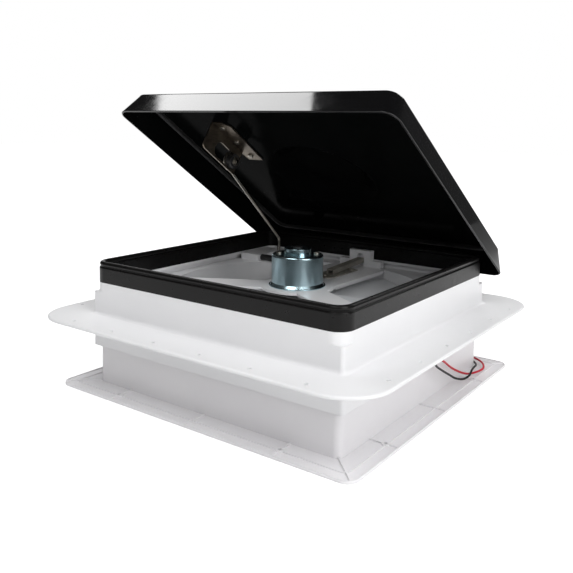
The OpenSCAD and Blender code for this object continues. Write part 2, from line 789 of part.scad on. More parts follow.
module motor_can() {
  foot_r = motor_foot_d / 2;
  can_r = motor_d / 2;
  color(zinc) translate([0, 0, ledge_z]) difference() {
    rotate_extrude() {
      square([foot_r - motor_foot_h / 2, motor_foot_h]);
      translate([foot_r - motor_foot_h / 2, motor_foot_h / 2]) circle(d = motor_foot_h);
      square([can_r, motor_h - motor_edge_r]);
      square([can_r - motor_edge_r, motor_h]);
      translate([can_r - motor_edge_r, motor_h - motor_edge_r]) circle(motor_edge_r);
      polygon([[0, 0], [foot_r - motor_foot_h, motor_foot_h - eps], [can_r, motor_foot_h + 3], [0, motor_foot_h + 3]]);
    }
    translate([0, 0, -1]) cylinder(d = motor_shaft_d + 2 * run_gap, h = shaft_bore_h + 1);
    for (a = [90 : 120 : 330])
      rotate(a) translate([mount_screw_r, 0, -1]) cylinder(d = motor_screw_d + 2 * screw_gap, h = motor_screw_l + 3);
    for (a = [35, 215])
      rotate(a) translate([motor_screw_r, 0, motor_h - motor_screw_l - 2]) cylinder(d = motor_screw_d + 2 * screw_gap, h = motor_screw_l + 3);
  }
}

module motor_boss() {
  r = motor_boss_d / 2;
  color(zinc) translate([0, 0, can_top]) rotate_extrude() {
    square([r, motor_boss_h - motor_round_r]);
    square([r - motor_round_r, motor_boss_h]);
    translate([r - motor_round_r, motor_boss_h - motor_round_r]) circle(motor_round_r);
  }
}

module motor_cap() {
  r = motor_cap_d / 2;
  color(black) translate([0, 0, boss_top]) rotate_extrude() {
    square([r, motor_cap_h - motor_round_r]);
    square([r - motor_round_r, motor_cap_h]);
    translate([r - motor_round_r, motor_cap_h - motor_round_r]) circle(motor_round_r);
  }
}

module motor_screws() {
  color(steel) for (a = [35, 215])
    rotate(a) translate([motor_screw_r, 0, can_top]) pan_screw(motor_screw_d, motor_screw_l);
}

module motor_mount_screws() {
  color(steel) for (a = [90 : 120 : 330])
    rotate(a) translate([mount_screw_r, 0, ledge_under]) rotate([180, 0, 0])
      pan_screw(motor_screw_d, ledge_t + motor_screw_l);
}

module motor_shaft() {
  color(steel) translate([0, 0, hub_under - nut_h - 3])
    cylinder(d = motor_shaft_d, h = ledge_z + shaft_bore_h - 1 - hub_under + nut_h + 3);
}

// Blade section at radius r: ring of points round a cambered plate
blade_k = 8;
function blade_loop(r, c, deg) = let (
    side = function (i, t) let (
        s = c * (i / blade_k - 0.5),
        h = blade_camber * (1 - pow(2 * i / blade_k - 1, 2)) + t,
        u = s * cos(deg) - h * sin(deg),
        w = s * sin(deg) + h * cos(deg),
        a = u / r * 180 / PI)
      [r * cos(a), r * sin(a), w])
  concat(
    [for (i = [0 : blade_k]) side(i, -blade_t / 2)],
    [for (i = [blade_k : -1 : 0]) side(i, blade_t / 2)]
  );

module fan_hub() {
  hub_r = fan_hub_d / 2;
  rib_l = hub_r - hub_boss_d / 2 - fan_hub_wall / 2 + 1;
  color("#d9dadb") translate([0, 0, hub_under]) difference() {
    union() {
      difference() {
        cylinder(r = hub_r, h = fan_hub_h);
        translate([0, 0, -1]) cylinder(r = hub_r - fan_hub_wall, h = fan_hub_h - fan_hub_wall + 1);
      }
      cylinder(d = hub_boss_d, h = fan_hub_h);
      for (a = [0 : 60 : 300])
        rotate(a) translate([hub_boss_d / 2 - 1, -1, fan_hub_h / 2])
          cube([rib_l, 2, fan_hub_h / 2 - 1]);
    }
    translate([0, 0, -1]) cylinder(d = motor_shaft_d + 2 * run_gap, h = fan_hub_h + 2);
  }
}

module fan_blades() {
  tip_r = duct_r - fan_tip_gap;
  root_r = fan_hub_d / 2 + 0.15;
  stations = 6;
  color("#d9dadb") for (b = [0 : fan_blades_n - 1])
    rotate(b * 360 / fan_blades_n) translate([0, 0, hub_under + fan_hub_h / 2])
      skin([for (j = [0 : stations])
        let (t = j / stations)
          blade_loop(root_r + (tip_r - root_r) * t,
                     blade_root_c + (blade_tip_c - blade_root_c) * t,
                     blade_root_deg + (blade_tip_deg - blade_root_deg) * t)]);
}

module fan_nut() {
  color(steel) translate([0, 0, hub_under - nut_h]) difference() {
    cylinder(d = nut_d, h = nut_h, $fn = 6);
    translate([0, 0, -1]) cylinder(d = motor_shaft_d + 2 * run_gap, h = nut_h + 2);
  }
}

function channel_screw_places() = [
  [0, channel_y0 + 9],
  [channel_foot_w / 2 - 5, channel_foot_y1 - 8]
];

module wire_channel() {
  half = channel_foot_w / 2;
  color(steel) difference() {
    union() {
      translate([0, 0, ledge_z]) linear_extrude(channel_t)
        polygon([[-half + 6, channel_y0], [half - 6, channel_y0], [half, channel_y0 + 8],
                 [half, channel_foot_y1], [-half, channel_foot_y1], [-half, channel_y0 + 8]]);
      translate([0, channel_rise_y, channel_rise_z - eps]) rotate([channel_deg, 0, 0])
        rotate([90, 0, 180]) linear_extrude(channel_len) difference() {
          translate([-channel_w / 2, 0]) square([channel_w, channel_h]);
          translate([-channel_w / 2 + channel_t, -1])
            square([channel_w - 2 * channel_t, channel_h - channel_t + 1]);
        }
    }
    for (p = channel_screw_places())
      translate([p[0], p[1], ledge_z - 1]) cylinder(d = motor_screw_d + 2 * screw_gap, h = channel_t + 2);
  }
}

module channel_screws() {
  color(steel) for (p = channel_screw_places())
    translate([p[0], p[1], ledge_z + channel_t]) pan_screw(motor_screw_d, channel_t + ledge_t);
}

module channel_socket() {
  slot_w = channel_w + 1;
  slot_top = channel_end_z + slot_w / 2 + fit_gap;
  color(white) difference() {
    union() {
      translate([-socket_base_w / 2, socket_y0, ledge_z])
        cube([socket_base_w, socket_tower_d, socket_base_h]);
      translate([-socket_tower_w / 2, socket_y0, ledge_z])
        cube([socket_tower_w, socket_tower_d, socket_tower_h]);
    }
    translate([-slot_w / 2, socket_y0 - 1, ledge_z - 1])
      cube([slot_w, socket_tower_d - 2, slot_top - ledge_z + 1 - slot_w / 2]);
    translate([0, socket_y0 - 1, slot_top - slot_w / 2]) rotate([-90, 0, 0])
      cylinder(d = slot_w, h = socket_tower_d - 2);
  }
}

function operator_screw_places() = [
  [operator_x0 + 8, operator_y0 + 24],
  [operator_x0 + 9, operator_y0 + operator_l - 8]
];

module operator_block() {
  color(white) difference() {
    translate([operator_x0 + operator_w / 2, operator_y0 + operator_l / 2, ledge_z])
      linear_extrude(operator_h) rounded_rect(operator_w, operator_l, 3);
    translate([operator_x1 + 1, arm_pivot_y, arm_pivot_z]) rotate([0, -90, 0])
      cylinder(d = arm_d + 2 * run_gap, h = operator_w - 8);
    translate([crank_x, crank_y, ledge_z - 1]) cylinder(d = crank_d + 2 * run_gap, h = crank_bore_h + 1);
    for (p = operator_screw_places())
      translate([p[0], p[1], ledge_z - 1]) cylinder(d = motor_screw_d + 2 * screw_gap, h = 7);
  }
}

module operator_screws() {
  color(steel) for (p = operator_screw_places())
    translate([p[0], p[1], ledge_under]) rotate([180, 0, 0]) pan_screw(motor_screw_d, ledge_t + 5);
}

module arm_bearing() {
  color(black) translate([operator_x1, arm_pivot_y, arm_pivot_z]) rotate([0, 90, 0]) difference() {
    cylinder(d = bearing_d, h = bearing_l);
    translate([0, 0, -1]) cylinder(d = arm_d + 2 * run_gap, h = bearing_l + 2);
  }
}

module crank_shaft() {
  color(steel) translate([crank_x, crank_y, knob_z + 2])
    cylinder(d = crank_d, h = ledge_z + crank_bore_h - 1 - knob_z - 2);
}

module crank_knob() {
  flutes = 10;
  color(black) translate([crank_x, crank_y, knob_z]) difference() {
    rotate_extrude() {
      square([knob_d / 2 - 2, knob_h]);
      translate([0, 2]) square([knob_d / 2, knob_h - 2]);
      translate([knob_d / 2 - 2, 2]) circle(2);
    }
    for (i = [0 : flutes - 1])
      rotate(i * 360 / flutes) translate([knob_d / 2 + 2.2, 0, -1]) cylinder(d = 7, h = knob_h + 2);
    translate([0, 0, 2]) cylinder(d = crank_d + 2 * run_gap, h = knob_h);
  }
}

// Bends of the lift arm in its plane, from the pivot to the slide pin
function arm_bends() = [
  [arm_pivot_y, arm_pivot_z],
  [arm_pivot_y + arm_set, arm_pivot_z + arm_rise],
  [pin_open[0] + arm_neck_set, pin_open[1] - arm_neck],
  pin_open
];
function unit(v) = v / norm(v);
function turn_deg(u, v) = atan2(u[0] * v[1] - u[1] * v[0], u * v);
function bend_cut(u, v) = arm_bend_r * tan(abs(turn_deg(u, v)) / 2);

// Round rod bent in a plane: true arcs at its bends, the straights a hair thinner and let into the arcs
arm_let_in = 0.5;
arm_hair = 0.1;
module bent_rod(q, d) {
  n = len(q);
  dirs = [for (i = [0 : n - 2]) unit(q[i + 1] - q[i])];
  cuts = [for (i = [0 : n - 1]) i == 0 || i == n - 1 ? 0 : bend_cut(dirs[i - 1], dirs[i])];
  for (i = [0 : n - 2]) {
    a = q[i] + dirs[i] * (cuts[i] - (i == 0 ? 0 : arm_let_in));
    b = q[i + 1] - dirs[i] * (cuts[i + 1] - (i == n - 2 ? 0 : arm_let_in));
    translate(a) rotate(atan2(dirs[i][1], dirs[i][0])) rotate([0, 90, 0])
      cylinder(d = d - arm_hair, h = norm(b - a));
  }
  for (i = [1 : n - 2]) {
    turn = turn_deg(dirs[i - 1], dirs[i]);
    s = sign(turn);
    left = [-dirs[i - 1][1], dirs[i - 1][0]];
    c = q[i] - dirs[i - 1] * cuts[i] + left * s * arm_bend_r;
    translate(c) rotate(atan2(-s * left[1], -s * left[0]))
      rotate_extrude(angle = turn) translate([arm_bend_r, 0]) circle(d = d);
  }
}

module lift_arm() {
  shaft_l = -arm_x - operator_x1 + operator_w - 10;
  color(steel) {
    translate([-arm_x, 0, 0]) rotate([90, 0, 90]) bent_rod(arm_bends(), arm_d);
    translate([-arm_x - shaft_l, arm_pivot_y, arm_pivot_z]) rotate([0, 90, 0]) cylinder(d = arm_d, h = shaft_l);
    translate([-arm_x, arm_pivot_y, arm_pivot_z]) rotate([0, 90, 0])
      cylinder(d = arm_d + 2, h = arm_d + 1, center = true);
    translate([-arm_x, pin_open[0], pin_open[1]]) rotate([0, 90, 0])
      cylinder(d = arm_d + 3, h = arm_d, center = true);
    translate([-arm_x, pin_open[0], pin_open[1]]) rotate([0, 90, 0])
      cylinder(d = arm_d, h = arm_d / 2 + 2 * washer_t + bush_l + 2);
  }
}

// Ring on the slide pin, from distance a to b right of the arm's plane
module on_pin(a, b, d) {
  translate([-arm_x + a, pin_open[0], pin_open[1]]) rotate([0, 90, 0]) difference() {
    cylinder(d = d, h = b - a);
    translate([0, 0, -1]) cylinder(d = arm_d + 2 * run_gap, h = b - a + 2);
  }
}

module slide_bush() {
  color("#2b2b2b") on_pin(arm_d / 2 + washer_t, arm_d / 2 + washer_t + bush_l, bush_d);
}

module slide_washers() {
  color(steel) {
    on_pin(arm_d / 2, arm_d / 2 + washer_t, washer_d);
    on_pin(arm_d / 2 + washer_t + bush_l, arm_d / 2 + 2 * washer_t + bush_l, washer_out_d);
  }
}

module slide_clip() {
  a = arm_d / 2 + 2 * washer_t + bush_l;
  color(steel) on_pin(a, a + 1.2, arm_d + 4);
}

function hinge_places() = [-hinge_pitch / 2, hinge_pitch / 2];

module hinge_leaves() {
  leaf_w = hinge_mid_w + 2 * (hinge_side_gap + hinge_side_w);
  leaf_bottom = hinge_z - hinge_knuckle_d / 2 - leaf_below;
  leaf_top = hinge_z + hinge_knuckle_d / 2 + leaf_above;
  wall_y = box_w / 2;
  k_r = hinge_knuckle_d / 2;
  screw_z = hinge_z - k_r - leaf_below * 4 / 9;
  color(black) for (c = hinge_places()) difference() {
    union() {
      translate([c - leaf_w / 2, wall_y, leaf_bottom]) cube([leaf_w, hinge_leaf_t, leaf_top - leaf_bottom]);
      for (s = [-1, 1])
        translate([c + s * (leaf_w / 2 - hinge_side_w / 2), 0, 0]) {
          translate([0, hinge_y, hinge_z]) rotate([0, 90, 0])
            cylinder(d = hinge_knuckle_d, h = hinge_side_w, center = true);
          translate([-hinge_side_w / 2, wall_y, hinge_z - k_r])
            cube([hinge_side_w, hinge_y - wall_y, hinge_knuckle_d]);
        }
    }
    translate([c, hinge_y, hinge_z]) rotate([0, 90, 0])
      cylinder(d = hinge_pin_d + 2 * run_gap, h = leaf_w + 2, center = true);
    for (t = [-1, 1])
      translate([c + t * hinge_mid_w * 0.8, wall_y + hinge_leaf_t + 1, screw_z]) rotate([90, 0, 0])
        cylinder(d = motor_screw_d + 2 * screw_gap, h = hinge_leaf_t + 2);
  }
}

module hinge_pins() {
  pin_l = hinge_mid_w + 2 * (hinge_side_gap + hinge_side_w);
  color(steel) for (c = hinge_places()) {
    translate([c - pin_l / 2, hinge_y, hinge_z]) rotate([0, 90, 0]) cylinder(d = hinge_pin_d, h = pin_l);
    translate([c - pin_l / 2 - 1.5, hinge_y, hinge_z]) rotate([0, 90, 0]) cylinder(d = hinge_pin_d + 3, h = 1.5);
  }
}

module hinge_screws() {
  screw_z = hinge_z - hinge_knuckle_d / 2 - leaf_below * 4 / 9;
  color(steel) for (c = hinge_places(), t = [-1, 1])
    translate([c + t * hinge_mid_w * 0.8, box_w / 2 + hinge_leaf_t, screw_z]) rotate([-90, 0, 0])
      pan_screw(motor_screw_d, hinge_leaf_t + box_wall);
}

// Loops of one face of the lid: skirt, crown, flat top, dome
function lid_loops(inset) = let (
    half = lid_w / 2 - inset,
    r = lid_corner_r - inset,
    top = lip_z + lid_h - inset,
    cr = lid_crown_r - inset / 2,
    side_half = function (h) half - skirt_lean * h)
  concat(
    [square_loop(half, r, lip_z)],
    [for (a = [0 : 30 : 90])
      let (h = top - lip_z - cr + cr * sin(a), x = cr * (1 - cos(a)))
        square_loop(side_half(top - lip_z - cr) - x, r - x, lip_z + h)],
    [for (t = [0 : 0.2 : 1])
      let (rad = dome_r - inset / 2 - dome_flank * t)
        square_loop(rad, rad, top + dome_h * (1 - cos(180 * t)) / 2)]
  );

module lid_shell() {
  outer = lid_loops(0);
  inner = lid_loops(lid_wall);
  n = len(inner);
  color("#141414") on_lid() skin(concat([for (i = [n - 1 : -1 : 0]) inner[i]], outer));
}

module lid_seal() {
  seal_out_w = rim_mid_w + seal_w;
  seal_r = rim_corner_r - (rim_w - seal_out_w) / 2;
  color("#1b1b1b") on_lid() translate([0, 0, panel_z - seal_h])
    perimeter_sweep(seal_out_w, seal_r) {
      translate([-seal_w, seal_w / 4]) square([seal_w, seal_h - seal_w / 4]);
      translate([-seal_w * 3 / 4, 0]) square([seal_w / 2, seal_h]);
      for (x = [-seal_w * 3 / 4, -seal_w / 4]) translate([x, seal_w / 4]) circle(seal_w / 4);
    }
}

module lid_lugs() {
  k_r = hinge_knuckle_d / 2;
  face = function (h) lid_back - lid_wall - skirt_lean * h - 0.1;
  h0 = 3;
  h1 = panel_in_h - lid_crown_r - 2;
  color(black) on_lid() for (c = hinge_places())
    translate([c - hinge_mid_w / 2, 0, 0]) difference() {
      union() {
        rotate([90, 0, 90]) linear_extrude(hinge_mid_w)
          polygon([[hinge_y - hinge_lug_t / 2, hinge_z], [hinge_y + hinge_lug_t / 2, hinge_z],
                   [face(h0), lip_z + h0], [face(h1), lip_z + h1],
                   [face(h1) - hinge_lug_t, lip_z + h1], [face(h0) - hinge_lug_t, lip_z + h0]]);
        translate([0, hinge_y, hinge_z]) rotate([0, 90, 0]) cylinder(r = k_r, h = hinge_mid_w);
      }
      translate([-1, hinge_y, hinge_z]) rotate([0, 90, 0])
        cylinder(d = hinge_pin_d + 2 * run_gap, h = hinge_mid_w + 2);
    }
}

function bracket_screw_ys() = [for (f = [0.12, 0.5, 0.88]) bracket_y0 - f * bracket_l];

module lid_bracket() {
  web_top = panel_z;
  web_y1 = web_y0 - web_l;
  color("#6f675c") on_lid() difference() {
    union() {
      translate([0, 0, panel_z - bracket_t]) linear_extrude(bracket_t)
        polygon([[web_x, web_y0], [web_x + bracket_t, bracket_y0],
                 [web_x + bracket_w, bracket_y0], [web_x + bracket_w, bracket_y0 - bracket_l + bracket_cut],
                 [web_x + bracket_w - bracket_cut, bracket_y0 - bracket_l], [web_x, bracket_y0 - bracket_l]]);
      translate([web_x, 0, 0]) rotate([90, 0, 90]) linear_extrude(bracket_t) {
        translate([web_y1 + web_corner_r, web_top - web_h]) square([web_l - web_corner_r, web_h]);
        translate([web_y1, web_top - web_h + web_corner_r]) square([web_l, web_h - web_corner_r]);
        translate([web_y1 + web_corner_r, web_top - web_h + web_corner_r]) circle(web_corner_r);
      }
    }
    translate([web_x - 1, slot_y0, lip_z + pin_h]) rotate([90, 0, 90]) linear_extrude(bracket_t + 2) {
      circle(slot_r);
      translate([-slot_run, 0]) circle(slot_r);
      translate([-slot_run, -slot_r]) square([slot_run, 2 * slot_r]);
    }
    for (y = bracket_screw_ys())
      translate([web_x + bracket_w * 0.45, y, panel_z - bracket_t - 1])
        cylinder(d = motor_screw_d + 2 * screw_gap, h = bracket_t + 2);
  }
}

module bracket_screws() {
  color("#b9b4aa") on_lid() for (y = bracket_screw_ys())
    translate([web_x + bracket_w * 0.45, y, panel_z - bracket_t]) rotate([180, 0, 0])
      pan_screw(motor_screw_d, bracket_t);
}

module lead_grommet() {
  color(black) translate([box_w / 2 - box_wall - 1.5, -grommet_y, grommet_z]) rotate([0, 90, 0]) difference() {
    union() {
      cylinder(d = grommet_d, h = box_wall + 1.5);
      translate([0, 0, box_wall + 1.5]) cylinder(d = grommet_flange_d, h = grommet_flange_t);
    }
    for (s = [-1, 1])
      translate([0, s * lead_pitch / 2, -1]) cylinder(d = lead_d + 2 * run_gap, h = box_wall + grommet_flange_t + 4);
  }
}

// Smooth path through the route's points, starting on the grommet's face
function catmull(p0, p1, p2, p3, t) =
  0.5 * (2 * p1 + (p2 - p0) * t + (2 * p0 - 5 * p1 + 4 * p2 - p3) * t * t
    + (3 * p1 - p0 - 3 * p2 + p3) * t * t * t);
function on_box(route) = [for (p = route) [p[0] * box_w / route_box_w, p[1] * box_w / route_box_w, p[2]]];
function route_path(q) = let (n = len(q)) concat(
  [for (i = [0 : n - 2], k = [0 : lead_steps - 1])
    catmull(q[max(i - 1, 0)], q[i], q[i + 1], q[min(i + 2, n - 1)], k / lead_steps)],
  [q[n - 1]]);
function route_dir(p, i) = let (n = len(p), v = p[min(i + 1, n - 1)] - p[max(i - 1, 0)]) v / norm(v);
function lead_loop(c, d) = let (
    side_v = cross(d, [0, 0, 1]),
    u = side_v / norm(side_v),
    w = cross(u, d))
  [for (k = [0 : lead_sides - 1])
    let (a = -360 * k / lead_sides) c + lead_d / 2 * (u * cos(a) + w * sin(a))];

module lead(route) {
  path = route_path(route);
  n = len(path);
  skin([for (i = [0 : n - 1]) lead_loop(path[i], i == 0 ? [1, 0, 0] : route_dir(path, i))]);
}

module red_lead() {
  color("#b5182b") lead(concat([[grommet_face_x, -grommet_y + lead_pitch / 2, grommet_z]], on_box(red_route)));
}

module black_lead() {
  color("#1a1a1a") lead(concat([[grommet_face_x, -grommet_y - lead_pitch / 2, grommet_z]], on_box(black_route)));
}

interior_garnish();
screen_frame();
insect_screen();
switch_body();
switch_rocker();
roof_base();
rim_frame();
fan_shroud();
shroud_screws();
motor_can();
motor_boss();
motor_cap();
motor_screws();
motor_mount_screws();
motor_shaft();
fan_hub();
fan_blades();
fan_nut();
wire_channel();
channel_screws();
channel_socket();
operator_block();
operator_screws();
arm_bearing();
crank_shaft();
crank_knob();
lift_arm();
slide_bush();
slide_washers();
slide_clip();
hinge_leaves();
hinge_pins();
hinge_screws();
lid_shell();
lid_seal();
lid_lugs();
lid_bracket();
bracket_screws();
lead_grommet();
red_lead();
black_lead();
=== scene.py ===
import math

import bpy
from mathutils import Matrix, Vector


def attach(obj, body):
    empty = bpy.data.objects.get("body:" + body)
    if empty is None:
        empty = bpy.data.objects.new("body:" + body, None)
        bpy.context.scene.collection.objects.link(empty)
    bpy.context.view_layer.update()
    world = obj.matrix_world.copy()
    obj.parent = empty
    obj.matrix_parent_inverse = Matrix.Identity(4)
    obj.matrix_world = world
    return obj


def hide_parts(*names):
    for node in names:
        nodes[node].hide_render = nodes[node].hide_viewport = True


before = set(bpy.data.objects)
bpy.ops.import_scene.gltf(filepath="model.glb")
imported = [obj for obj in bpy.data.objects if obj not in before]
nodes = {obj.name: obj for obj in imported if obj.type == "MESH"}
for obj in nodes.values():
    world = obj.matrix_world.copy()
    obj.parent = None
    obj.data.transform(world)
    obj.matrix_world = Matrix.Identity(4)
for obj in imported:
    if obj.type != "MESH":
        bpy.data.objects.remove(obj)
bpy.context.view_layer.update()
# sizes below are in mm and angles in degrees, where no note says otherwise
mm = 0.001
print("frame loaded:", len(nodes), "nodes")


# sRGB hex to linear
def tone(hexText):
    parts = [int(hexText[i:i + 2], 16) / 255 for i in (1, 3, 5)]
    linear = [p / 12.92 if p <= 0.04045 else ((p + 0.055) / 1.055) ** 2.4 for p in parts]
    return (*linear, 1.0)


# adds one node, sets its properties and sockets, and links its inputs
def addNode(tree, kind, props=None, values=None, links=None):
    node = tree.nodes.new(kind)
    for key, value in (props or {}).items():
        setattr(node, key, value)
    for key, value in (values or {}).items():
        node.inputs[key].default_value = value
    for key, source in (links or {}).items():
        tree.links.new(source, node.inputs[key])
    return node


def freshMaterial(name):
    material = bpy.data.materials.new(name)
    material.use_nodes = True
    tree = material.node_tree
    tree.nodes.clear()
    coords = addNode(tree, "ShaderNodeTexCoord")
    return material, tree, coords.outputs["Object"]


def wear(node, material):
    piece = nodes[node] if isinstance(node, str) else node
    piece.data.materials.clear()
    piece.data.materials.append(material)


def deselectAll():
    if bpy.context.mode != "OBJECT":
        bpy.ops.object.mode_set(mode="OBJECT")
    bpy.ops.object.select_all(action="DESELECT")


def takeUp(pieces):
    deselectAll()
    for piece in pieces:
        piece.select_set(True)
    bpy.context.view_layer.objects.active = pieces[0]


# an own copy of a modelled piece, with its place put into its mesh
def placeCopy(master, place):
    twin = master.copy()
    twin.data = master.data.copy()
    bpy.context.scene.collection.objects.link(twin)
    twin.matrix_world = place
    takeUp([twin])
    bpy.ops.object.transform_apply(location=True, rotation=True, scale=True)
    return twin


def joinPieces(pieces, name):
    takeUp(pieces)
    if len(pieces) > 1:
        bpy.ops.object.join()
    pieces[0].name = name
    return pieces[0]


def applyModifier(piece, kind, **settings):
    modifier = piece.modifiers.new(kind.lower(), kind)
    for key, value in settings.items():
        setattr(modifier, key, value)
    bpy.ops.object.modifier_apply(modifier=modifier.name)


# cuts one piece with another and clears the cutter away
def cutWith(piece, cutter, operation):
    takeUp([piece])
    applyModifier(piece, "BOOLEAN", operation=operation, solver="EXACT", object=cutter)
    bpy.data.objects.remove(cutter)


upright = 0.9  # a face looks up or down where its normal has this much of z


# selects faces, edges or points in edit mode by a test on each
def pick(piece, kind, chosen):
    bpy.ops.mesh.select_mode(type=kind)
    bpy.ops.mesh.select_all(action="DESELECT")
    bpy.ops.object.mode_set(mode="OBJECT")
    mesh = piece.data
    for part in dict(FACE=mesh.polygons, EDGE=mesh.edges, VERT=mesh.vertices)[kind]:
        part.select = chosen(part)
    bpy.ops.object.mode_set(mode="EDIT")


# clip in metres
cameraLook = dict(place=(507.1, -729.3, 317.5), azimuth=35.8, tilt=5.0, roll=0.9,
                  sensor=36, lens=44.78, shiftY=-0.1735, clip=(0.01, 100))


def makeCamera(look):
    a, e, r = (math.radians(look[k]) for k in ("azimuth", "tilt", "roll"))
    back = Vector((math.sin(a) * math.cos(e), -math.cos(a) * math.cos(e), math.sin(e)))
    right = Vector((math.cos(a), math.sin(a), 0))
    up = back.cross(right)
    side = right * math.cos(r) + up * math.sin(r)
    top = up * math.cos(r) - right * math.sin(r)
    data = bpy.data.cameras.new("photoCamera")
    data.sensor_width = look["sensor"]
    data.lens = look["lens"]
    data.shift_y = look["shiftY"]
    data.clip_start, data.clip_end = look["clip"]
    camera = bpy.data.objects.new("photoCamera", data)
    turn = Matrix((side, top, back)).transposed().to_4x4()
    camera.matrix_world = Matrix.Translation(Vector(look["place"]) * mm) @ turn
    bpy.context.scene.collection.objects.link(camera)
    bpy.context.scene.camera = camera


makeCamera(cameraLook)
print("camera placed")

leadLook = dict(
    diameter=2.6,
    red=[(178.6, -12.8, 64), (181.4, -12.8, 64), (184.2, -12.8, 64), (187.7, -11.9, 64),
         (190.3, -9.3, 63.8), (191.2, -5.6, 63.2), (191.1, -1.2, 62), (190.5, 4.6, 60),
         (189.2, 12, 56.7), (187.4, 21, 52.6), (185.6, 30.5, 48.3), (184, 40, 44), (182, 60, 33),
         (181, 80, 23), (182, 100, 14), (184, 118, 8), (189, 136, 7), (190, 152, 7), (184, 168, 7),
         (174, 180, 7), (160, 188, 7), (144, 189.8, 7)],
    black=[(178.6, -17.2, 64), (181.4, -17.2, 64), (184.2, -17.2, 64), (187.7, -16.45, 63.4),
           (190.2, -14.3, 61.9), (191.1, -11.2, 59.7), (190.9, -7.4, 57.2), (190.2, -1.8, 53.8),
           (188.9, 6, 49.3), (187, 16, 44), (185, 36, 34), (184, 56, 24), (184, 76, 14), (186, 96, 8),
           (188, 110, 9), (186, 124, 12), (183, 140, 11), (179.6, 154, 8.2), (174, 166, 7),
           (164, 176.5, 7), (150, 183, 7)],
    curveSteps=8, roundSteps=4, measureSteps=24,
)
pvcLook = dict(red=("#c4122a", "#b81a2e"), black=("#060607", "#0c0c0d"), ior=1.42, rough=(0.48, 0.6),
               cloud=18, fine=0.8, relief=0.08, depth=0.1)
# twist in radians from knot to knot
strandLook = dict(count=7, knots=7, bare=7, overlap=1, radius=0.25, ring=0.55, taper=0.15, twist=0.22,
                  body="#c8865a", shade="#a9653d", rough=(0.22, 0.4), cloud=2, roundSteps=2)


# extruded PVC insulation: smooth, slightly waxy, faint clouds in its colour
def makeLeadPvc(name, colours, look):
    material, tree, place = freshMaterial(name)
    cloud = addNode(tree, "ShaderNodeTexNoise", values={"Scale": 1 / (look["cloud"] * mm), "Detail": 4},
                    links={"Vector": place})
    blend = addNode(tree, "ShaderNodeMixRGB",
                    values={"Color1": tone(colours[0]), "Color2": tone(colours[1])},
                    links={"Fac": cloud.outputs["Fac"]})
    gloss = addNode(tree, "ShaderNodeMapRange",
                    values={"To Min": look["rough"][0], "To Max": look["rough"][1]},
                    links={"Value": cloud.outputs["Fac"]})
    fine = addNode(tree, "ShaderNodeTexNoise", values={"Scale": 1 / (look["fine"] * mm)},
                   links={"Vector": place})
    bump = addNode(tree, "ShaderNodeBump",
                   values={"Strength": look["relief"], "Distance": look["depth"] * mm},
                   links={"Height": fine.outputs["Fac"]})
    shader = addNode(tree, "ShaderNodeBsdfPrincipled", values={"IOR": look["ior"]},
                     links={"Base Color": blend.outputs["Color"], "Roughness": gloss.outputs["Result"],
                            "Normal": bump.outputs["Normal"]})
    addNode(tree, "ShaderNodeOutputMaterial", links={"Surface": shader.outputs["BSDF"]})
    return material


# bare copper strands, drawn bright and twisted
def makeStrandCopper(look):
    material, tree, place = freshMaterial("strandCopper")
    cloud = addNode(tree, "ShaderNodeTexNoise", values={"Scale": 1 / (look["cloud"] * mm)},
                    links={"Vector": place})
    blend = addNode(tree, "ShaderNodeMixRGB",
                    values={"Color1": tone(look["body"]), "Color2": tone(look["shade"])},
                    links={"Fac": cloud.outputs["Fac"]})
    gloss = addNode(tree, "ShaderNodeMapRange",
                    values={"To Min": look["rough"][0], "To Max": look["rough"][1]},
                    links={"Value": cloud.outputs["Fac"]})
    shader = addNode(tree, "ShaderNodeBsdfPrincipled", values={"Metallic": 1},
                     links={"Base Color": blend.outputs["Color"], "Roughness": gloss.outputs["Result"]})
    addNode(tree, "ShaderNodeOutputMaterial", links={"Surface": shader.outputs["BSDF"]})
    return material


# length of the smooth curve that makeLead draws through the points
def leadLength(points, steps):
    total, last = 0, points[0]
    n = len(points)
    for i in range(n - 1):
        p0, p1, p2, p3 = points[max(i - 1, 0)], points[i], points[i + 1], points[min(i + 2, n - 1)]
        for k in range(1, steps + 1):
            t = k / steps
            spot = 0.5 * (2 * p1 + (p2 - p0) * t + (2 * p0 - 5 * p1 + 4 * p2 - p3) * t * t
                          + (3 * p1 - p0 - 3 * p2 + p3) * t ** 3)
            total += (spot - last).length
            last = spot
    return total


def roundCurve(name, radius, roundSteps):
    curve = bpy.data.curves.new(name, "CURVE")
    curve.dimensions = "3D"
    curve.bevel_depth = radius * mm
    curve.bevel_resolution = roundSteps
    curve.use_fill_caps = True
    piece = bpy.data.objects.new(name, curve)
    bpy.context.scene.collection.objects.link(piece)
    return piece, curve


def makeLead(colour, node, look, pvc, copper):
    points = [Vector(p) * mm for p in look[colour]]
    n = len(points)
    lead, curve = roundCurve(colour + "Lead", look["diameter"] / 2, look["roundSteps"])
    curve.resolution_u = look["curveSteps"]
    spline = curve.splines.new("BEZIER")
    spline.bezier_points.add(n - 1)
    for i, (knot, p) in enumerate(zip(spline.bezier_points, points)):
        # a sixth of the way between the neighbours lets the curve pass smoothly through the point
        pull = (points[min(i + 1, n - 1)] - points[max(i - 1, 0)]) / 6
        knot.handle_left_type = knot.handle_right_type = "FREE"
        knot.co, knot.handle_left, knot.handle_right = p, p - pull, p + pull
    curve.materials.append(pvc)
    heading = (points[-1] - points[-2]).normalized()
    tip = makeStrands(colour, points[-1], heading, strandLook, copper)
    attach(lead, "base")
    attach(tip, "base")
    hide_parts(node)
    leadLength(points, look["measureSteps"])


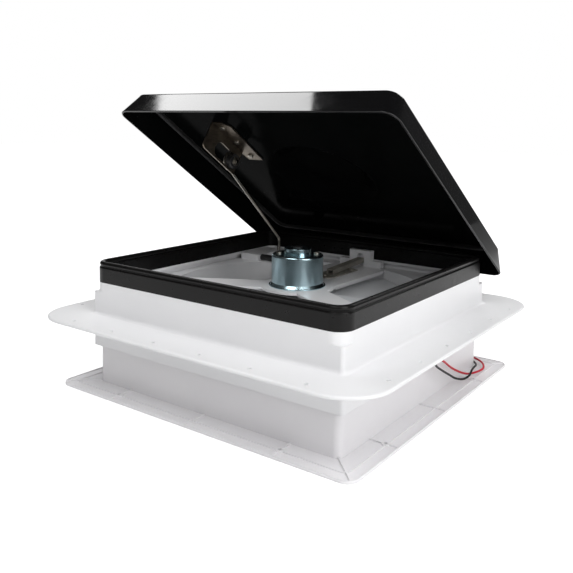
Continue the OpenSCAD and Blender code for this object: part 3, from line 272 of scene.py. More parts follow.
# the stripped strands at the lead's end, one in the middle and the rest lightly twisted round it
def makeStrands(colour, end, heading, look, copper):
    strands = []
    side = heading.cross(Vector((0, 0, 1))).normalized()
    rise = side.cross(heading)
    last = look["knots"] - 1
    for k in range(look["count"]):
        ring = 0 if k == 0 else look["ring"] * mm
        strand, curve = roundCurve("strand", look["radius"], look["roundSteps"])
        spline = curve.splines.new("POLY")
        spline.points.add(last)
        for i in range(look["knots"]):
            turn = k * math.tau / (look["count"] - 1) + i * look["twist"]
            out = (side * math.cos(turn) + rise * math.sin(turn)) * ring * (1 - look["taper"] * i / last)
            along = look["bare"] * mm * (i / last) - look["overlap"] * mm
            spline.points[i].co = (*(end + heading * along + out), 1)
        strands.append(strand)
    takeUp(strands)
    bpy.ops.object.convert(target="MESH")
    bpy.ops.object.join()
    tip = bpy.context.view_layer.objects.active
    tip.name = colour + "LeadStrands"
    wear(tip, copper)
    return tip


strandCopper = makeStrandCopper(strandLook)
redPvc = makeLeadPvc("redPvcInsulation", pvcLook["red"], pvcLook)
makeLead("red", "red_lead", leadLook, redPvc, strandCopper)
blackPvc = makeLeadPvc("blackPvcInsulation", pvcLook["black"], pvcLook)
makeLead("black", "black_lead", leadLook, blackPvc, strandCopper)
print("leads laid")

mouldLook = dict(grain=0.9, ior=1.54, cloud=70, scuff=9, scuffSpan=(0.35, 0.7),
                 relief=0.06, depth=0.12, edge=0.6)
plasticLook = dict(
    # the roof parts: bright, satin
    white=dict(mouldLook, body="#eeeeef", shade="#e7e7e9", rough=(0.3, 0.42)),
    # the ceiling parts: a touch darker and flatter
    garnish=dict(mouldLook, body="#ecebec", shade="#e5e3e6", rough=(0.36, 0.5)),
    # the fan: a pale grey
    fan=dict(mouldLook, body="#d6d8da", shade="#cbcdd0", rough=(0.34, 0.48)),
    # the rim: its finely etched face reflects less than polished plastic
    rim=dict(mouldLook, body="#0d0c0c", shade="#121111", rough=(0.27, 0.33), grain=0.6, ior=1.26,
             relief=0.012),
    # the small fittings: nylon, a flat dark grey
    fittings=dict(mouldLook, body="#1b1b1c", shade="#262627", rough=(0.4, 0.56), grain=0.6, ior=1.53,
                  edge=0.4),
)


# injection-moulded plastic: even colour, fine satin grain, faint flow clouds and softened edges
def makeMoulded(name, look):
    material, tree, place = freshMaterial(name)
    cloud = addNode(tree, "ShaderNodeTexNoise",
                    values={"Scale": 1 / (look["cloud"] * mm), "Detail": 3, "Roughness": 0.55},
                    links={"Vector": place})
    blend = addNode(tree, "ShaderNodeMixRGB",
                    values={"Color1": tone(look["body"]), "Color2": tone(look["shade"])},
                    links={"Fac": cloud.outputs["Fac"]})
    scuff = addNode(tree, "ShaderNodeTexNoise",
                    values={"Scale": 1 / (look["scuff"] * mm), "Detail": 5, "Roughness": 0.7},
                    links={"Vector": place})
    gloss = addNode(tree, "ShaderNodeMapRange",
                    values={"From Min": look["scuffSpan"][0], "From Max": look["scuffSpan"][1],
                            "To Min": look["rough"][0], "To Max": look["rough"][1]},
                    links={"Value": scuff.outputs["Fac"]})
    # the spark-eroded grain is finer in truth, drawn at about a millimetre so that it shows
    grain = addNode(tree, "ShaderNodeTexVoronoi", values={"Scale": 1 / (look["grain"] * mm)},
                    links={"Vector": place})
    soft = addNode(tree, "ShaderNodeBevel", props={"samples": 4}, values={"Radius": look["edge"] * mm})
    bump = addNode(tree, "ShaderNodeBump",
                   values={"Strength": look["relief"], "Distance": look["depth"] * mm},
                   links={"Height": grain.outputs["Distance"], "Normal": soft.outputs["Normal"]})
    shader = addNode(tree, "ShaderNodeBsdfPrincipled", values={"IOR": look["ior"]},
                     links={"Base Color": blend.outputs["Color"], "Roughness": gloss.outputs["Result"],
                            "Normal": bump.outputs["Normal"]})
    addNode(tree, "ShaderNodeOutputMaterial", links={"Surface": shader.outputs["BSDF"]})
    return material


whiteAbs = makeMoulded("whiteAbs", plasticLook["white"])
garnishAbs = makeMoulded("garnishAbs", plasticLook["garnish"])
fanAbs = makeMoulded("fanAbs", plasticLook["fan"])
rimPlastic = makeMoulded("blackRimPlastic", plasticLook["rim"])
fittingNylon = makeMoulded("blackNylon", plasticLook["fittings"])
for name in ("roof_base", "fan_shroud", "channel_socket", "operator_block"):
    wear(name, whiteAbs)
for name in ("interior_garnish", "screen_frame"):
    wear(name, garnishAbs)
for name in ("fan_hub", "fan_blades"):
    wear(name, fanAbs)
wear("rim_frame", rimPlastic)
for name in ("switch_body", "switch_rocker", "crank_knob", "arm_bearing", "motor_cap", "hinge_leaves",
             "lid_lugs", "slide_bush"):
    wear(name, fittingNylon)
print("plastics finished")

spongeLook = dict(body="#0f0f10", shade="#1d1d1d", pore=0.9, relief=0.35, depth=0.3, rough=0.8, ior=1.5)


# sponge rubber extrusion: matt, open pores, with painted shade darkening the pit of each pore
def makeSpongeRubber(look):
    material, tree, place = freshMaterial("spongeRubber")
    poresAndPaintedShade = addNode(tree, "ShaderNodeTexVoronoi", values={"Scale": 1 / (look["pore"] * mm)},
                    links={"Vector": place})
    # the colour is darkest in each pore's pit, where the bump is lowest: this is painted shade in the pores
    blend = addNode(tree, "ShaderNodeMixRGB",
                    values={"Color1": tone(look["body"]), "Color2": tone(look["shade"])},
                    links={"Fac": poresAndPaintedShade.outputs["Distance"]})
    bump = addNode(tree, "ShaderNodeBump",
                   values={"Strength": look["relief"], "Distance": look["depth"] * mm},
                   links={"Height": poresAndPaintedShade.outputs["Distance"]})
    shader = addNode(tree, "ShaderNodeBsdfPrincipled",
                     values={"Roughness": look["rough"], "IOR": look["ior"]},
                     links={"Base Color": blend.outputs["Color"], "Normal": bump.outputs["Normal"]})
    addNode(tree, "ShaderNodeOutputMaterial", links={"Surface": shader.outputs["BSDF"]})
    return material


spongeRubber = makeSpongeRubber(spongeLook)
wear("lid_seal", spongeRubber)
wear("lead_grommet", spongeRubber)

platedLook = dict(metal=1, cloud=14, streakShare=0.6, span=(0.55, 1.05), relief=0.05, depth=0.08, edge=0.3)
metalLook = dict(
    # bright zinc under a bluish passivation, streaked upwards
    zinc=dict(platedLook, body="#b8d4dd", shade="#c9e2e9", rough=(0.18, 0.28), streak=(9, 9, 60)),
    # tumbled and plated, with no direction
    steel=dict(platedLook, body="#a8a39a", shade="#8a857d", rough=(0.26, 0.42), streak=(3, 3, 3)),
    # drawn rod: the smoothest
    rod=dict(platedLook, body="#b4afa6", shade="#99948b", rough=(0.12, 0.22), streak=(2, 2, 12)),
    # old rolled sheet, brownish
    sheet=dict(platedLook, body="#7d7468", shade="#5d554b", rough=(0.3, 0.5), streak=(2, 14, 2)),
    # galvanised sheet: its grey oxide takes about half of the metal shine
    galvanised=dict(platedLook, body="#a9a69d", shade="#8b877e", rough=(0.5, 0.66), streak=(3, 16, 3),
                    metal=0.55),
    # coated wire, flat grey
    wire=dict(platedLook, body="#8e9193", shade="#7a7d80", rough=(0.4, 0.55), streak=(4, 4, 4)),
)


# plated steel: streaks from drawing or rolling, cloudy plating, softened edges
def makePlated(name, look):
    material, tree, place = freshMaterial(name)
    stretch = addNode(tree, "ShaderNodeMapping", props={"vector_type": "POINT"},
                      values={"Scale": tuple(1 / (s * mm) for s in look["streak"])},
                      links={"Vector": place})
    streak = addNode(tree, "ShaderNodeTexNoise", values={"Scale": 1, "Detail": 4, "Roughness": 0.6},
                     links={"Vector": stretch.outputs["Vector"]})
    cloud = addNode(tree, "ShaderNodeTexNoise", values={"Scale": 1 / (look["cloud"] * mm), "Detail": 3},
                    links={"Vector": place})
    mixed = addNode(tree, "ShaderNodeMath", props={"operation": "MULTIPLY_ADD"},
                    values={1: look["streakShare"]},
                    links={0: streak.outputs["Fac"], 2: cloud.outputs["Fac"]})
    span = addNode(tree, "ShaderNodeMapRange",
                   values={"From Min": look["span"][0], "From Max": look["span"][1]},
                   links={"Value": mixed.outputs["Value"]})
    blend = addNode(tree, "ShaderNodeMixRGB",
                    values={"Color1": tone(look["body"]), "Color2": tone(look["shade"])},
                    links={"Fac": span.outputs["Result"]})
    gloss = addNode(tree, "ShaderNodeMapRange",
                    values={"To Min": look["rough"][0], "To Max": look["rough"][1]},
                    links={"Value": streak.outputs["Fac"]})
    soft = addNode(tree, "ShaderNodeBevel", props={"samples": 4}, values={"Radius": look["edge"] * mm})
    bump = addNode(tree, "ShaderNodeBump",
                   values={"Strength": look["relief"], "Distance": look["depth"] * mm},
                   links={"Height": streak.outputs["Fac"], "Normal": soft.outputs["Normal"]})
    shader = addNode(tree, "ShaderNodeBsdfPrincipled", values={"Metallic": look["metal"]},
                     links={"Base Color": blend.outputs["Color"], "Roughness": gloss.outputs["Result"],
                            "Normal": bump.outputs["Normal"]})
    addNode(tree, "ShaderNodeOutputMaterial", links={"Surface": shader.outputs["BSDF"]})
    return material


blueZinc = makePlated("bluePassivatedZinc", metalLook["zinc"])
platedSteel = makePlated("platedSteel", metalLook["steel"])
drawnRod = makePlated("drawnRodSteel", metalLook["rod"])
agedSheet = makePlated("agedSheetSteel", metalLook["sheet"])
galvanisedSheet = makePlated("galvanisedSheet", metalLook["galvanised"])
meshWire = makePlated("coatedMeshWire", metalLook["wire"])
for name in ("motor_can", "motor_boss"):
    wear(name, blueZinc)
for name in ("shroud_screws", "motor_screws", "motor_mount_screws", "motor_shaft", "fan_nut",
             "channel_screws", "operator_screws", "crank_shaft", "slide_washers", "slide_clip",
             "hinge_pins", "hinge_screws", "bracket_screws"):
    wear(name, platedSteel)
wear("lift_arm", drawnRod)
wear("wire_channel", galvanisedSheet)
wear("lid_bracket", agedSheet)
wear("insect_screen", meshWire)
print("metals finished")

screwLook = dict(shank=4, head=7.6, height=2.2, round=0.6, roundSteps=3, length=5, sides=28, smooth=35,
                 slotLong=4.0, slotWide=0.85, slotDeep=1.3, slotFloor=0.45)
# a fourth number is the turn of the recess
screwSpots = dict(
    shroudReach=164, shroudZ=116,
    motorRing=23.5, motorAngles=(35, 215), motorZ=156,
    mountRing=22, mountAngles=(90, 210, 330), mountZ=113,
    channel=((0, 63, 117.4, 15), (10, 118, 117.4, 52)),
    operator=((-159, 114, 113, 8), (-158, 144, 113, 61)),
    hingeX=(-120, 120), hingeStep=14.4, hingeY=179.4, hingeZ=100.5,
    bracketX=-88.35, bracketY=(-48.98, -82.8, -116.62), bracketZ=154, bracketLength=2,
)
# the lid's hinge line and how far it stands open at rest
lidSwing = dict(hingeY=187.5, hingeZ=110, open=33)


# pan head with a cross recess, head up, its seat at the origin
def makePanScrew(look, material):
    deselectAll()
    bpy.ops.mesh.primitive_cylinder_add(vertices=look["sides"], radius=look["head"] / 2 * mm,
                                        depth=look["height"] * mm, location=(0, 0, look["height"] / 2 * mm))
    screw = bpy.context.view_layer.objects.active
    screw.name = "panScrew"
    bpy.ops.object.transform_apply(location=True)
    bpy.ops.object.mode_set(mode="EDIT")
    pick(screw, "FACE", lambda f: f.normal.z > upright)
    bpy.ops.mesh.bevel(offset=look["round"] * mm, segments=look["roundSteps"])
    pick(screw, "FACE", lambda f: f.normal.z < -upright)
    bpy.ops.mesh.inset(thickness=(look["head"] - look["shank"]) / 2 * mm)
    bpy.ops.mesh.extrude_region_move(TRANSFORM_OT_translate={"value": (0, 0, -look["length"] * mm)})
    bpy.ops.object.mode_set(mode="OBJECT")
    for angle in (0, 90):
        deselectAll()
        bpy.ops.mesh.primitive_cube_add(size=1, location=(0, 0, look["height"] * mm))
        blade = bpy.context.view_layer.objects.active
        blade.scale = (look["slotLong"] * mm, look["slotWide"] * mm, 2 * look["slotDeep"] * mm)
        blade.rotation_euler.z = math.radians(angle)
        bpy.ops.object.transform_apply(location=True, rotation=True, scale=True)
        # the slot narrows towards its floor
        bpy.ops.object.mode_set(mode="EDIT")
        pick(blade, "FACE", lambda f: f.normal.z < -upright)
        bpy.ops.transform.resize(value=(look["slotFloor"], look["slotFloor"], 1))
        bpy.ops.object.mode_set(mode="OBJECT")
        cutWith(screw, blade, "DIFFERENCE")
    bpy.ops.object.shade_smooth_by_angle(angle=math.radians(look["smooth"]))
    wear(screw, material)
    return screw


def placeScrews(master, node, body, places):
    twins = [placeCopy(master, place) for place in places]
    words = node.split("_")
    group = joinPieces(twins, words[0] + "".join(w.title() for w in words[1:]))
    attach(group, body)
    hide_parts(node)


def spin(degrees):
    return Matrix.Rotation(math.radians(degrees), 4, "Z")


def at(x, y, z, turn):
    return Matrix.Translation(Vector((x, y, z)) * mm) @ turn


def ringSpots(radius, angles):
    return [(radius * math.cos(math.radians(a)), radius * math.sin(math.radians(a))) for a in angles]


# from the lid shut to the lid as it stands at rest
def openLid(swing):
    hinge = Vector((0, swing["hingeY"], swing["hingeZ"])) * mm
    turn = Matrix.Rotation(math.radians(-swing["open"]), 4, "X")
    return Matrix.Translation(hinge) @ turn @ Matrix.Translation(-hinge)


def setScrews(spots, look, material):
    headDown = Matrix.Rotation(math.pi, 4, "X")
    headBack = Matrix.Rotation(-math.pi / 2, 4, "X")
    panScrew = makePanScrew(look, material)
    # these end in the lid's sheet
    shortScrew = makePanScrew(dict(look, length=spots["bracketLength"]), material)
    corners = [(x, y) for x in (-spots["shroudReach"], spots["shroudReach"])
               for y in (-spots["shroudReach"], spots["shroudReach"])]
    # each recess stands at a turn of its own, as screws do
    placeScrews(panScrew, "shroud_screws", "base",
                [at(x, y, spots["shroudZ"], spin(20 + x / 9 + y / 5)) for x, y in corners])
    placeScrews(panScrew, "motor_screws", "base",
                [at(x, y, spots["motorZ"], spin(x))
                 for x, y in ringSpots(spots["motorRing"], spots["motorAngles"])])
    placeScrews(panScrew, "motor_mount_screws", "base",
                [at(x, y, spots["mountZ"], headDown @ spin(2 * x))
                 for x, y in ringSpots(spots["mountRing"], spots["mountAngles"])])
    placeScrews(panScrew, "channel_screws", "base",
                [at(x, y, z, spin(turn)) for x, y, z, turn in spots["channel"]])
    placeScrews(panScrew, "operator_screws", "base",
                [at(x, y, z, headDown @ spin(turn)) for x, y, z, turn in spots["operator"]])
    placeScrews(panScrew, "hinge_screws", "base",
                [at(x + way * spots["hingeStep"], spots["hingeY"], spots["hingeZ"],
                    headBack @ spin(x + 31 * way))
                 for x in spots["hingeX"] for way in (-1, 1)])
    placeScrews(shortScrew, "bracket_screws", "lid",
                [openLid(lidSwing) @ at(spots["bracketX"], y, spots["bracketZ"], headDown @ spin(y))
                 for y in spots["bracketY"]])
    for master in (panScrew, shortScrew):
        bpy.data.objects.remove(master)


setScrews(screwSpots, screwLook, platedSteel)
print("screws set")

meshLook = dict(radius=152, bottom=21, pitch=4.2, wire=0.55, ring=4, ringHeight=1.2, ringSides=160)


# woven screen in its pressed ring; the real weave is about 1.5 mm, drawn coarser so that it shows
def makeInsectMesh(look, material):
    middle = (0, 0, (look["bottom"] + look["ringHeight"] / 2) * mm)
    deselectAll()
    cells = int(2 * look["radius"] / look["pitch"])
    bpy.ops.mesh.primitive_grid_add(x_subdivisions=cells, y_subdivisions=cells,
                                    size=cells * look["pitch"] * mm, location=middle)
    screen = bpy.context.view_layer.objects.active
    bpy.ops.object.transform_apply(location=True)
    bpy.ops.object.mode_set(mode="EDIT")
    reach = (look["radius"] - look["ring"]) * mm
    pick(screen, "FACE", lambda f: math.hypot(f.center.x, f.center.y) > reach)
    bpy.ops.mesh.delete(type="FACE")
    bpy.ops.object.mode_set(mode="OBJECT")
    applyModifier(screen, "WIREFRAME", thickness=look["wire"] * mm, use_even_offset=False,
                  use_boundary=True)
    deselectAll()
    bpy.ops.mesh.primitive_cylinder_add(vertices=look["ringSides"], radius=look["radius"] * mm,
                                        depth=look["ringHeight"] * mm, location=middle)
    ring = bpy.context.view_layer.objects.active
    bpy.ops.object.transform_apply(location=True)
    bpy.ops.object.mode_set(mode="EDIT")
    pick(ring, "FACE", lambda f: abs(f.normal.z) > upright)
    bpy.ops.mesh.inset(thickness=look["ring"] * 2 * mm)
    bpy.ops.mesh.bridge_edge_loops()
    bpy.ops.object.mode_set(mode="OBJECT")
    screen = joinPieces([screen, ring], "insectMesh")
    wear(screen, material)
    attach(screen, "base")
    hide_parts("insect_screen")


makeInsectMesh(meshLook, meshWire)
print("screen woven")

bladeLook = dict(count=6, rootRadius=34.7, tipRadius=154, rootSpare=10, tipSpare=4, height=95,
                 rootChord=46, tipChord=74, rootPitch=26, tipPitch=14, camber=3.5, thick=2,
                 spanSteps=14, chordSteps=12, trimSides=180, trimDepth=200,
                 edge=0.6, edgeSteps=3, edgeAngle=50, smooth=35)


# bends, twists and spreads a flat grid of size 1 into a blade
def shapeBlade(blade, look):
    near = 0.01  # well under a step of the grid
    aside = 10  # metres, so that a station that has been moved isn't taken again
    inner, outer = look["rootRadius"] - look["rootSpare"], look["tipRadius"] + look["tipSpare"]
    bpy.ops.object.mode_set(mode="EDIT")
    for k in range(look["chordSteps"] + 1):
        across = k / look["chordSteps"] - 0.5
        pick(blade, "VERT", lambda v: abs(v.co.y - across) < near)
        bpy.ops.transform.translate(value=(0, 0, look["camber"] * (1 - 4 * across * across) * mm))
    for k in range(look["spanSteps"] + 1):
        along = k / look["spanSteps"]
        radius = inner + (outer - inner) * along
        t = min(max((radius - look["rootRadius"]) / (look["tipRadius"] - look["rootRadius"]), 0), 1)
        chord = look["rootChord"] + (look["tipChord"] - look["rootChord"]) * t
        pitch = look["rootPitch"] + (look["tipPitch"] - look["rootPitch"]) * t
        pick(blade, "VERT", lambda v: abs(v.co.x - (along - 0.5)) < near)
        bpy.ops.transform.resize(value=(1, chord * mm, 1), center_override=(0, 0, 0))
        bpy.ops.transform.rotate(value=-math.radians(pitch), orient_axis="X", center_override=(0, 0, 0))
        bpy.ops.transform.translate(value=(aside + radius * mm - (along - 0.5), 0, 0))
    bpy.ops.mesh.select_all(action="SELECT")
    bpy.ops.transform.translate(value=(-aside, 0, look["height"] * mm))
    bpy.ops.object.mode_set(mode="OBJECT")


# one twisted, cambered blade, trimmed to the hub and to a round tip, then set round the hub
def makeFanBlades(look, material):
    deselectAll()
    bpy.ops.mesh.primitive_grid_add(x_subdivisions=look["spanSteps"],
                                    y_subdivisions=look["chordSteps"], size=1)
    blade = bpy.context.view_layer.objects.active
    shapeBlade(blade, look)
    applyModifier(blade, "SOLIDIFY", thickness=look["thick"] * mm, offset=0)
    for radius, operation in ((look["tipRadius"], "INTERSECT"), (look["rootRadius"], "DIFFERENCE")):
        deselectAll()
        bpy.ops.mesh.primitive_cylinder_add(vertices=look["trimSides"], radius=radius * mm,
                                            depth=look["trimDepth"] * mm,
                                            location=(0, 0, look["height"] * mm))
        cutWith(blade, bpy.context.view_layer.objects.active, operation)
    applyModifier(blade, "BEVEL", width=look["edge"] * mm, segments=look["edgeSteps"], limit_method="ANGLE",
                  angle_limit=math.radians(look["edgeAngle"]))
    bpy.ops.object.shade_smooth_by_angle(angle=math.radians(look["smooth"]))
    wear(blade, material)
    turns = [placeCopy(blade, spin(360 * k / look["count"])) for k in range(look["count"])]
    bpy.data.objects.remove(blade)
    blades = joinPieces(turns, "fanBlades")
    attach(blades, "fan")
    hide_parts("fan_blades")


makeFanBlades(bladeLook, fanAbs)
print("fan bladed")

lidLook = dict(width=389.9, corner=17, height=32.5, draft=7.5, wall=2.5, crown=5, crownSteps=6,
               cornerSteps=12, sideSteps=24, domeFoot=76, domeTop=46, domeHeight=18, domeSteps=10, lip=126,
               edge=0.6, edgeSteps=3, edgeAngle=50, smooth=35)
glossLook = dict(body="#050506", shade="#0b0b0c", haze=45, hazeSpan=(0.4, 0.75), rough=(0.03, 0.1),
                 peel=6, relief=0.02, depth=0.1, ior=1.49)
satinLook = dict(body="#060707", shade="#0c0d0d", haze=60, hazeSpan=(0.35, 0.75), rough=(0.08, 0.2),
                 ior=1.49, specular=0.003)


# black ABS under an acrylic skin: deep black, mirror gloss, faint handling haze
def makeGlossLid(look):
    material, tree, place = freshMaterial("glossBlackAcrylic")
    haze = addNode(tree, "ShaderNodeTexNoise",
                   values={"Scale": 1 / (look["haze"] * mm), "Detail": 6, "Roughness": 0.65},
                   links={"Vector": place})
    gloss = addNode(tree, "ShaderNodeMapRange",
                    values={"From Min": look["hazeSpan"][0], "From Max": look["hazeSpan"][1],
                            "To Min": look["rough"][0], "To Max": look["rough"][1]},
                    links={"Value": haze.outputs["Fac"]})
    blend = addNode(tree, "ShaderNodeMixRGB",
                    values={"Color1": tone(look["body"]), "Color2": tone(look["shade"])},
                    links={"Fac": haze.outputs["Fac"]})
    peel = addNode(tree, "ShaderNodeTexNoise", values={"Scale": 1 / (look["peel"] * mm), "Detail": 1},
                   links={"Vector": place})
    bump = addNode(tree, "ShaderNodeBump",
                   values={"Strength": look["relief"], "Distance": look["depth"] * mm},
                   links={"Height": peel.outputs["Fac"]})
    shader = addNode(tree, "ShaderNodeBsdfPrincipled", values={"IOR": look["ior"]},
                     links={"Base Color": blend.outputs["Color"], "Roughness": gloss.outputs["Result"],
                            "Normal": bump.outputs["Normal"]})
    addNode(tree, "ShaderNodeOutputMaterial", links={"Surface": shader.outputs["BSDF"]})
    return material


# the lid's inner face: the same black ABS without the acrylic skin, a deep satin that hardly reflects
def makeSatinInside(look):
    material, tree, place = freshMaterial("satinBlackAbs")
    haze = addNode(tree, "ShaderNodeTexNoise",
                   values={"Scale": 1 / (look["haze"] * mm), "Detail": 5, "Roughness": 0.6},
                   links={"Vector": place})
    gloss = addNode(tree, "ShaderNodeMapRange",
                    values={"From Min": look["hazeSpan"][0], "From Max": look["hazeSpan"][1],
                            "To Min": look["rough"][0], "To Max": look["rough"][1]},
                    links={"Value": haze.outputs["Fac"]})
    blend = addNode(tree, "ShaderNodeMixRGB",
                    values={"Color1": tone(look["body"]), "Color2": tone(look["shade"])},
                    links={"Fac": haze.outputs["Fac"]})
    shader = addNode(tree, "ShaderNodeBsdfPrincipled",
                     values={"IOR": look["ior"], "Specular IOR Level": look["specular"]},
                     links={"Base Color": blend.outputs["Color"], "Roughness": gloss.outputs["Result"]})
    addNode(tree, "ShaderNodeOutputMaterial", links={"Surface": shader.outputs["BSDF"]})
    return material


def edgeLength(piece, edge):
    a, b = (piece.data.vertices[i].co for i in edge.vertices)
    return (a - b).length


def faceHeights(piece, face):
    return [piece.data.vertices[i].co.z for i in face.vertices]


# a square with round corners, drawn up into the drafted skirt and open below
def shapeSkirt(lid, look):
    rise = 1 * mm  # tells the raised points from the lip's
    slack = 0.1  # takes in the very ends of the corner arcs
    bpy.ops.object.mode_set(mode="EDIT")
    bpy.ops.mesh.select_all(action="SELECT")
    bpy.ops.mesh.bevel(offset=look["corner"] * mm, segments=look["cornerSteps"], affect="VERTICES")
    pick(lid, "EDGE", lambda e: edgeLength(lid, e) > look["width"] / 2 * mm)
    bpy.ops.mesh.subdivide(number_cuts=look["sideSteps"])
    bpy.ops.mesh.select_mode(type="FACE")
    bpy.ops.mesh.select_all(action="SELECT")
    bpy.ops.mesh.extrude_region_move()
    bpy.ops.transform.translate(value=(0, 0, (look["height"] - look["crown"]) * mm))
    # for the draft the four corners move in and keep their radius
    straight = (look["width"] / 2 - look["corner"] - slack) * mm
    for axis in (0, 1):
        for way in (-1, 1):
            pick(lid, "VERT", lambda v: v.co.z > rise and v.co[axis] * way > straight)
            inward = -way * look["draft"] * mm
            bpy.ops.transform.translate(value=[inward if k == axis else 0 for k in range(3)])
    pick(lid, "FACE", lambda f: max(faceHeights(lid, f)) < rise)
    bpy.ops.mesh.delete(type="FACE")
    pick(lid, "FACE", lambda f: min(faceHeights(lid, f)) > rise)


# the rounded crown, the flat top and the round dome; starts from the selected top face
def shapeTop(lid, look):
    for k in range(look["crownSteps"]):
        a, b = (math.radians(90 * i / look["crownSteps"]) for i in (k, k + 1))
        inset = look["crown"] * (math.cos(a) - math.cos(b))
        rise = look["crown"] * (math.sin(b) - math.sin(a))
        bpy.ops.mesh.inset(thickness=inset * mm, use_even_offset=True)
        bpy.ops.transform.translate(value=(0, 0, rise * mm))
    # the flat is halved, made round and brought to the size of the dome's foot
    bpy.ops.mesh.extrude_region_move()
    bpy.ops.transform.resize(value=(0.5, 0.5, 1))
    bpy.ops.transform.tosphere(value=1)
    bpy.ops.object.mode_set(mode="OBJECT")
    ring = [v for v in lid.data.vertices if v.select]
    reach = sum(math.hypot(v.co.x, v.co.y) for v in ring) / len(ring)
    bpy.ops.object.mode_set(mode="EDIT")
    scale = look["domeFoot"] * mm / reach
    bpy.ops.transform.resize(value=(scale, scale, 1))
    steps = look["domeSteps"]
    flank = look["domeFoot"] - look["domeTop"]
    wave = [look["domeHeight"] * (1 - math.cos(math.pi * k / steps)) / 2 for k in range(steps + 1)]
    rings = [look["domeFoot"] - flank * k / steps for k in range(steps + 1)]
    for k in range(steps):
        bpy.ops.mesh.extrude_region_move()
        bpy.ops.transform.resize(value=(rings[k + 1] / rings[k], rings[k + 1] / rings[k], 1))
        bpy.ops.transform.translate(value=(0, 0, (wave[k + 1] - wave[k]) * mm))
    bpy.ops.object.mode_set(mode="OBJECT")


def makeLid(look, swing, material, inside):
    deselectAll()
    bpy.ops.mesh.primitive_plane_add(size=look["width"] * mm, location=(0, 0, 0))
    lid = bpy.context.view_layer.objects.active
    lid.name = "glossLid"
    shapeSkirt(lid, look)
    shapeTop(lid, look)
    wear(lid, material)
    lid.data.materials.append(inside)
    applyModifier(lid, "SOLIDIFY", thickness=look["wall"] * mm, offset=-1, use_even_offset=True,
                  material_offset=1)
    applyModifier(lid, "BEVEL", width=look["edge"] * mm, segments=look["edgeSteps"], limit_method="ANGLE",
                  angle_limit=math.radians(look["edgeAngle"]))
    lid.matrix_world = openLid(swing) @ Matrix.Translation(Vector((0, 0, look["lip"] * mm)))
    bpy.ops.object.transform_apply(location=True, rotation=True, scale=True)
    bpy.ops.object.shade_smooth_by_angle(angle=math.radians(look["smooth"]))
    # the large flat faces keep their own normals, so that they mirror without waves
    applyModifier(lid, "WEIGHTED_NORMAL", keep_sharp=True)
    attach(lid, "lid")
    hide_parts("lid_shell")


makeLid(lidLook, lidSwing, makeGlossLid(glossLook), makeSatinInside(satinLook))
print("lid modelled")

# sizes in metres; lift is the floor's own glow at the two reaches, paper points to the white backdrop
stageLook = dict(floor="#f4f4f4", size=16, drop=0.0005, lift=(0.66, 1.0), reach=(0.7, 3.0), world=0.15,
                 studio=0.05, paper=(-0.585, 0.811, 0), paperEdge=(0.84, 0.92), sheetEdge=(0.95, 1.3))


# the camera's own rays, and all rays that show the background: those, mirrored ones and through a clear piece
def seenRays(tree):
    rays = addNode(tree, "ShaderNodeLightPath")
    direct = addNode(tree, "ShaderNodeMath", props={"operation": "MAXIMUM"},
                     links={0: rays.outputs["Is Camera Ray"], 1: rays.outputs["Is Glossy Ray"]})
    seen = addNode(tree, "ShaderNodeMath", props={"operation": "MAXIMUM"},
                   links={0: direct.outputs["Value"], 1: rays.outputs["Is Transmission Ray"]})
    return rays.outputs["Is Camera Ray"], seen.outputs["Value"]


# matt white paint; the far floor is as white as the backdrop, the near floor leaves room for the shadow
def makeFloorPaint(look):
    material, tree, place = freshMaterial("paleFloorPaint")
    straight, seen = seenRays(tree)
    away = addNode(tree, "ShaderNodeVectorMath", props={"operation": "LENGTH"}, links={0: place})
    level = addNode(tree, "ShaderNodeMapRange", props={"interpolation_type": "SMOOTHSTEP"},
                    values={"From Min": look["reach"][0], "From Max": look["reach"][1],
                            "To Min": look["lift"][0], "To Max": look["lift"][1]},
                    links={"Value": away.outputs["Value"]})
    # mirrored rays find the white sheet under and behind the object, and the dark studio beyond it
    near = addNode(tree, "ShaderNodeMapRange",
                   values={"From Min": look["sheetEdge"][0], "From Max": look["sheetEdge"][1],
                           "To Min": 1, "To Max": 0},
                   links={"Value": away.outputs["Value"]})
    heading = addNode(tree, "ShaderNodeVectorMath", props={"operation": "NORMALIZE"}, links={0: place})
    facing = addNode(tree, "ShaderNodeVectorMath", props={"operation": "DOT_PRODUCT"},
                     values={1: look["paper"]}, links={0: heading.outputs["Vector"]})
    behind = addNode(tree, "ShaderNodeMapRange",
                     values={"From Min": look["paperEdge"][0], "From Max": look["paperEdge"][1]},
                     links={"Value": facing.outputs["Value"]})
    sheet = addNode(tree, "ShaderNodeMath", props={"operation": "MAXIMUM"},
                    links={0: near.outputs["Result"], 1: behind.outputs["Result"]})
    shown = addNode(tree, "ShaderNodeMath", props={"operation": "MAXIMUM"},
                    links={0: straight, 1: sheet.outputs["Value"]})
    glowing = addNode(tree, "ShaderNodeMath", props={"operation": "MULTIPLY"},
                      links={0: shown.outputs["Value"], 1: level.outputs["Result"]})
    lift = addNode(tree, "ShaderNodeMath", props={"operation": "MULTIPLY"},
                   links={0: seen, 1: glowing.outputs["Value"]})
    matt = addNode(tree, "ShaderNodeBsdfDiffuse", values={"Color": tone(look["floor"])})
    glow = addNode(tree, "ShaderNodeEmission", values={"Color": (1, 1, 1, 1)},
                   links={"Strength": lift.outputs["Value"]})
    both = addNode(tree, "ShaderNodeAddShader", links={0: matt.outputs["BSDF"], 1: glow.outputs["Emission"]})
    addNode(tree, "ShaderNodeOutputMaterial", links={"Surface": both.outputs["Shader"]})
    return material


def makeFloor(look):
    deselectAll()
    bpy.ops.mesh.primitive_plane_add(size=look["size"], location=(0, 0, -look["drop"]))
    floor = bpy.context.view_layer.objects.active
    floor.name = "paleFloor"
    floor.data.materials.append(makeFloorPaint(look))


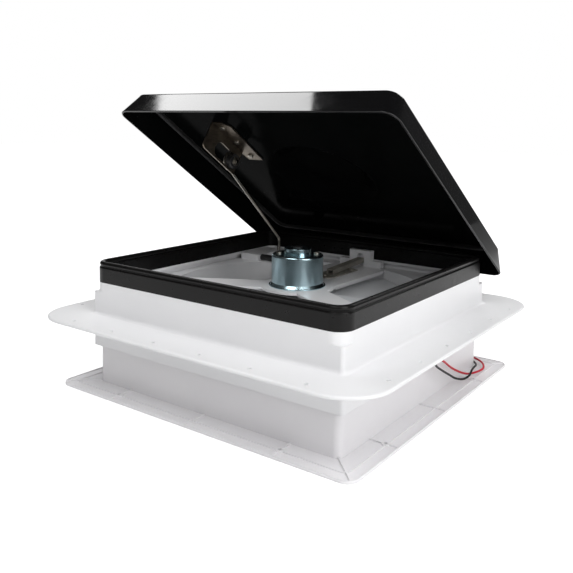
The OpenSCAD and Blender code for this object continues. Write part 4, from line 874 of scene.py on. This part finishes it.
# white to the camera; mirrored rays find the white paper behind the object and the dark studio to its sides
def makeWorld(look):
    world = bpy.data.worlds.new("studio")
    bpy.context.scene.world = world
    world.use_nodes = True
    tree = world.node_tree
    tree.nodes.clear()
    straight, seen = seenRays(tree)
    heading = addNode(tree, "ShaderNodeTexCoord")
    facing = addNode(tree, "ShaderNodeVectorMath", props={"operation": "DOT_PRODUCT"},
                     values={1: look["paper"]}, links={0: heading.outputs["Generated"]})
    mirrored = addNode(tree, "ShaderNodeMapRange",
                       values={"From Min": look["paperEdge"][0], "From Max": look["paperEdge"][1],
                               "To Min": look["studio"], "To Max": 1},
                       links={"Value": facing.outputs["Value"]})
    level = addNode(tree, "ShaderNodeMapRange", values={"To Min": look["world"]},
                    links={"Value": seen, "To Max": mirrored.outputs["Result"]})
    strength = addNode(tree, "ShaderNodeMath", props={"operation": "MAXIMUM"},
                       links={0: straight, 1: level.outputs["Result"]})
    sky = addNode(tree, "ShaderNodeBackground", values={"Color": (1, 1, 1, 1)},
                  links={"Strength": strength.outputs["Value"]})
    addNode(tree, "ShaderNodeOutputWorld", links={"Surface": sky.outputs["Background"]})


# places and sizes in metres
lampLook = dict(
    softboxLeft=dict(place=(-0.964, 0.039, 1.468), size=(0.5, 0.486), watts=6),
    softboxRight=dict(place=(1.5, -0.4, 1.6), size=(1.2, 1.2), watts=20.5),
    softboxLow=dict(place=(2.0, -0.6, 0.5), size=(1.2, 0.8), watts=10.5),
    softboxFront=dict(place=(0.1, -1.45, 1.8), size=(1.2, 1.2), watts=18),
    softboxBack=dict(place=(0.3, 1.7, 1.3), size=(0.8, 0.6), watts=9),
)
lampAim = Vector((0, 0, 0.15))


def makeLamp(name, look):
    data = bpy.data.lights.new(name, "AREA")
    data.shape = "RECTANGLE"
    data.size, data.size_y = look["size"]
    data.energy = look["watts"]
    lamp = bpy.data.objects.new(name, data)
    lamp.location = look["place"]
    lamp.rotation_euler = (lampAim - Vector(look["place"])).to_track_quat("-Z", "Y").to_euler()
    bpy.context.scene.collection.objects.link(lamp)


makeFloor(stageLook)
makeWorld(stageLook)
for name, look in lampLook.items():
    makeLamp(name, look)
bpy.context.scene.view_settings.view_transform = "Standard"
print("stage lit")
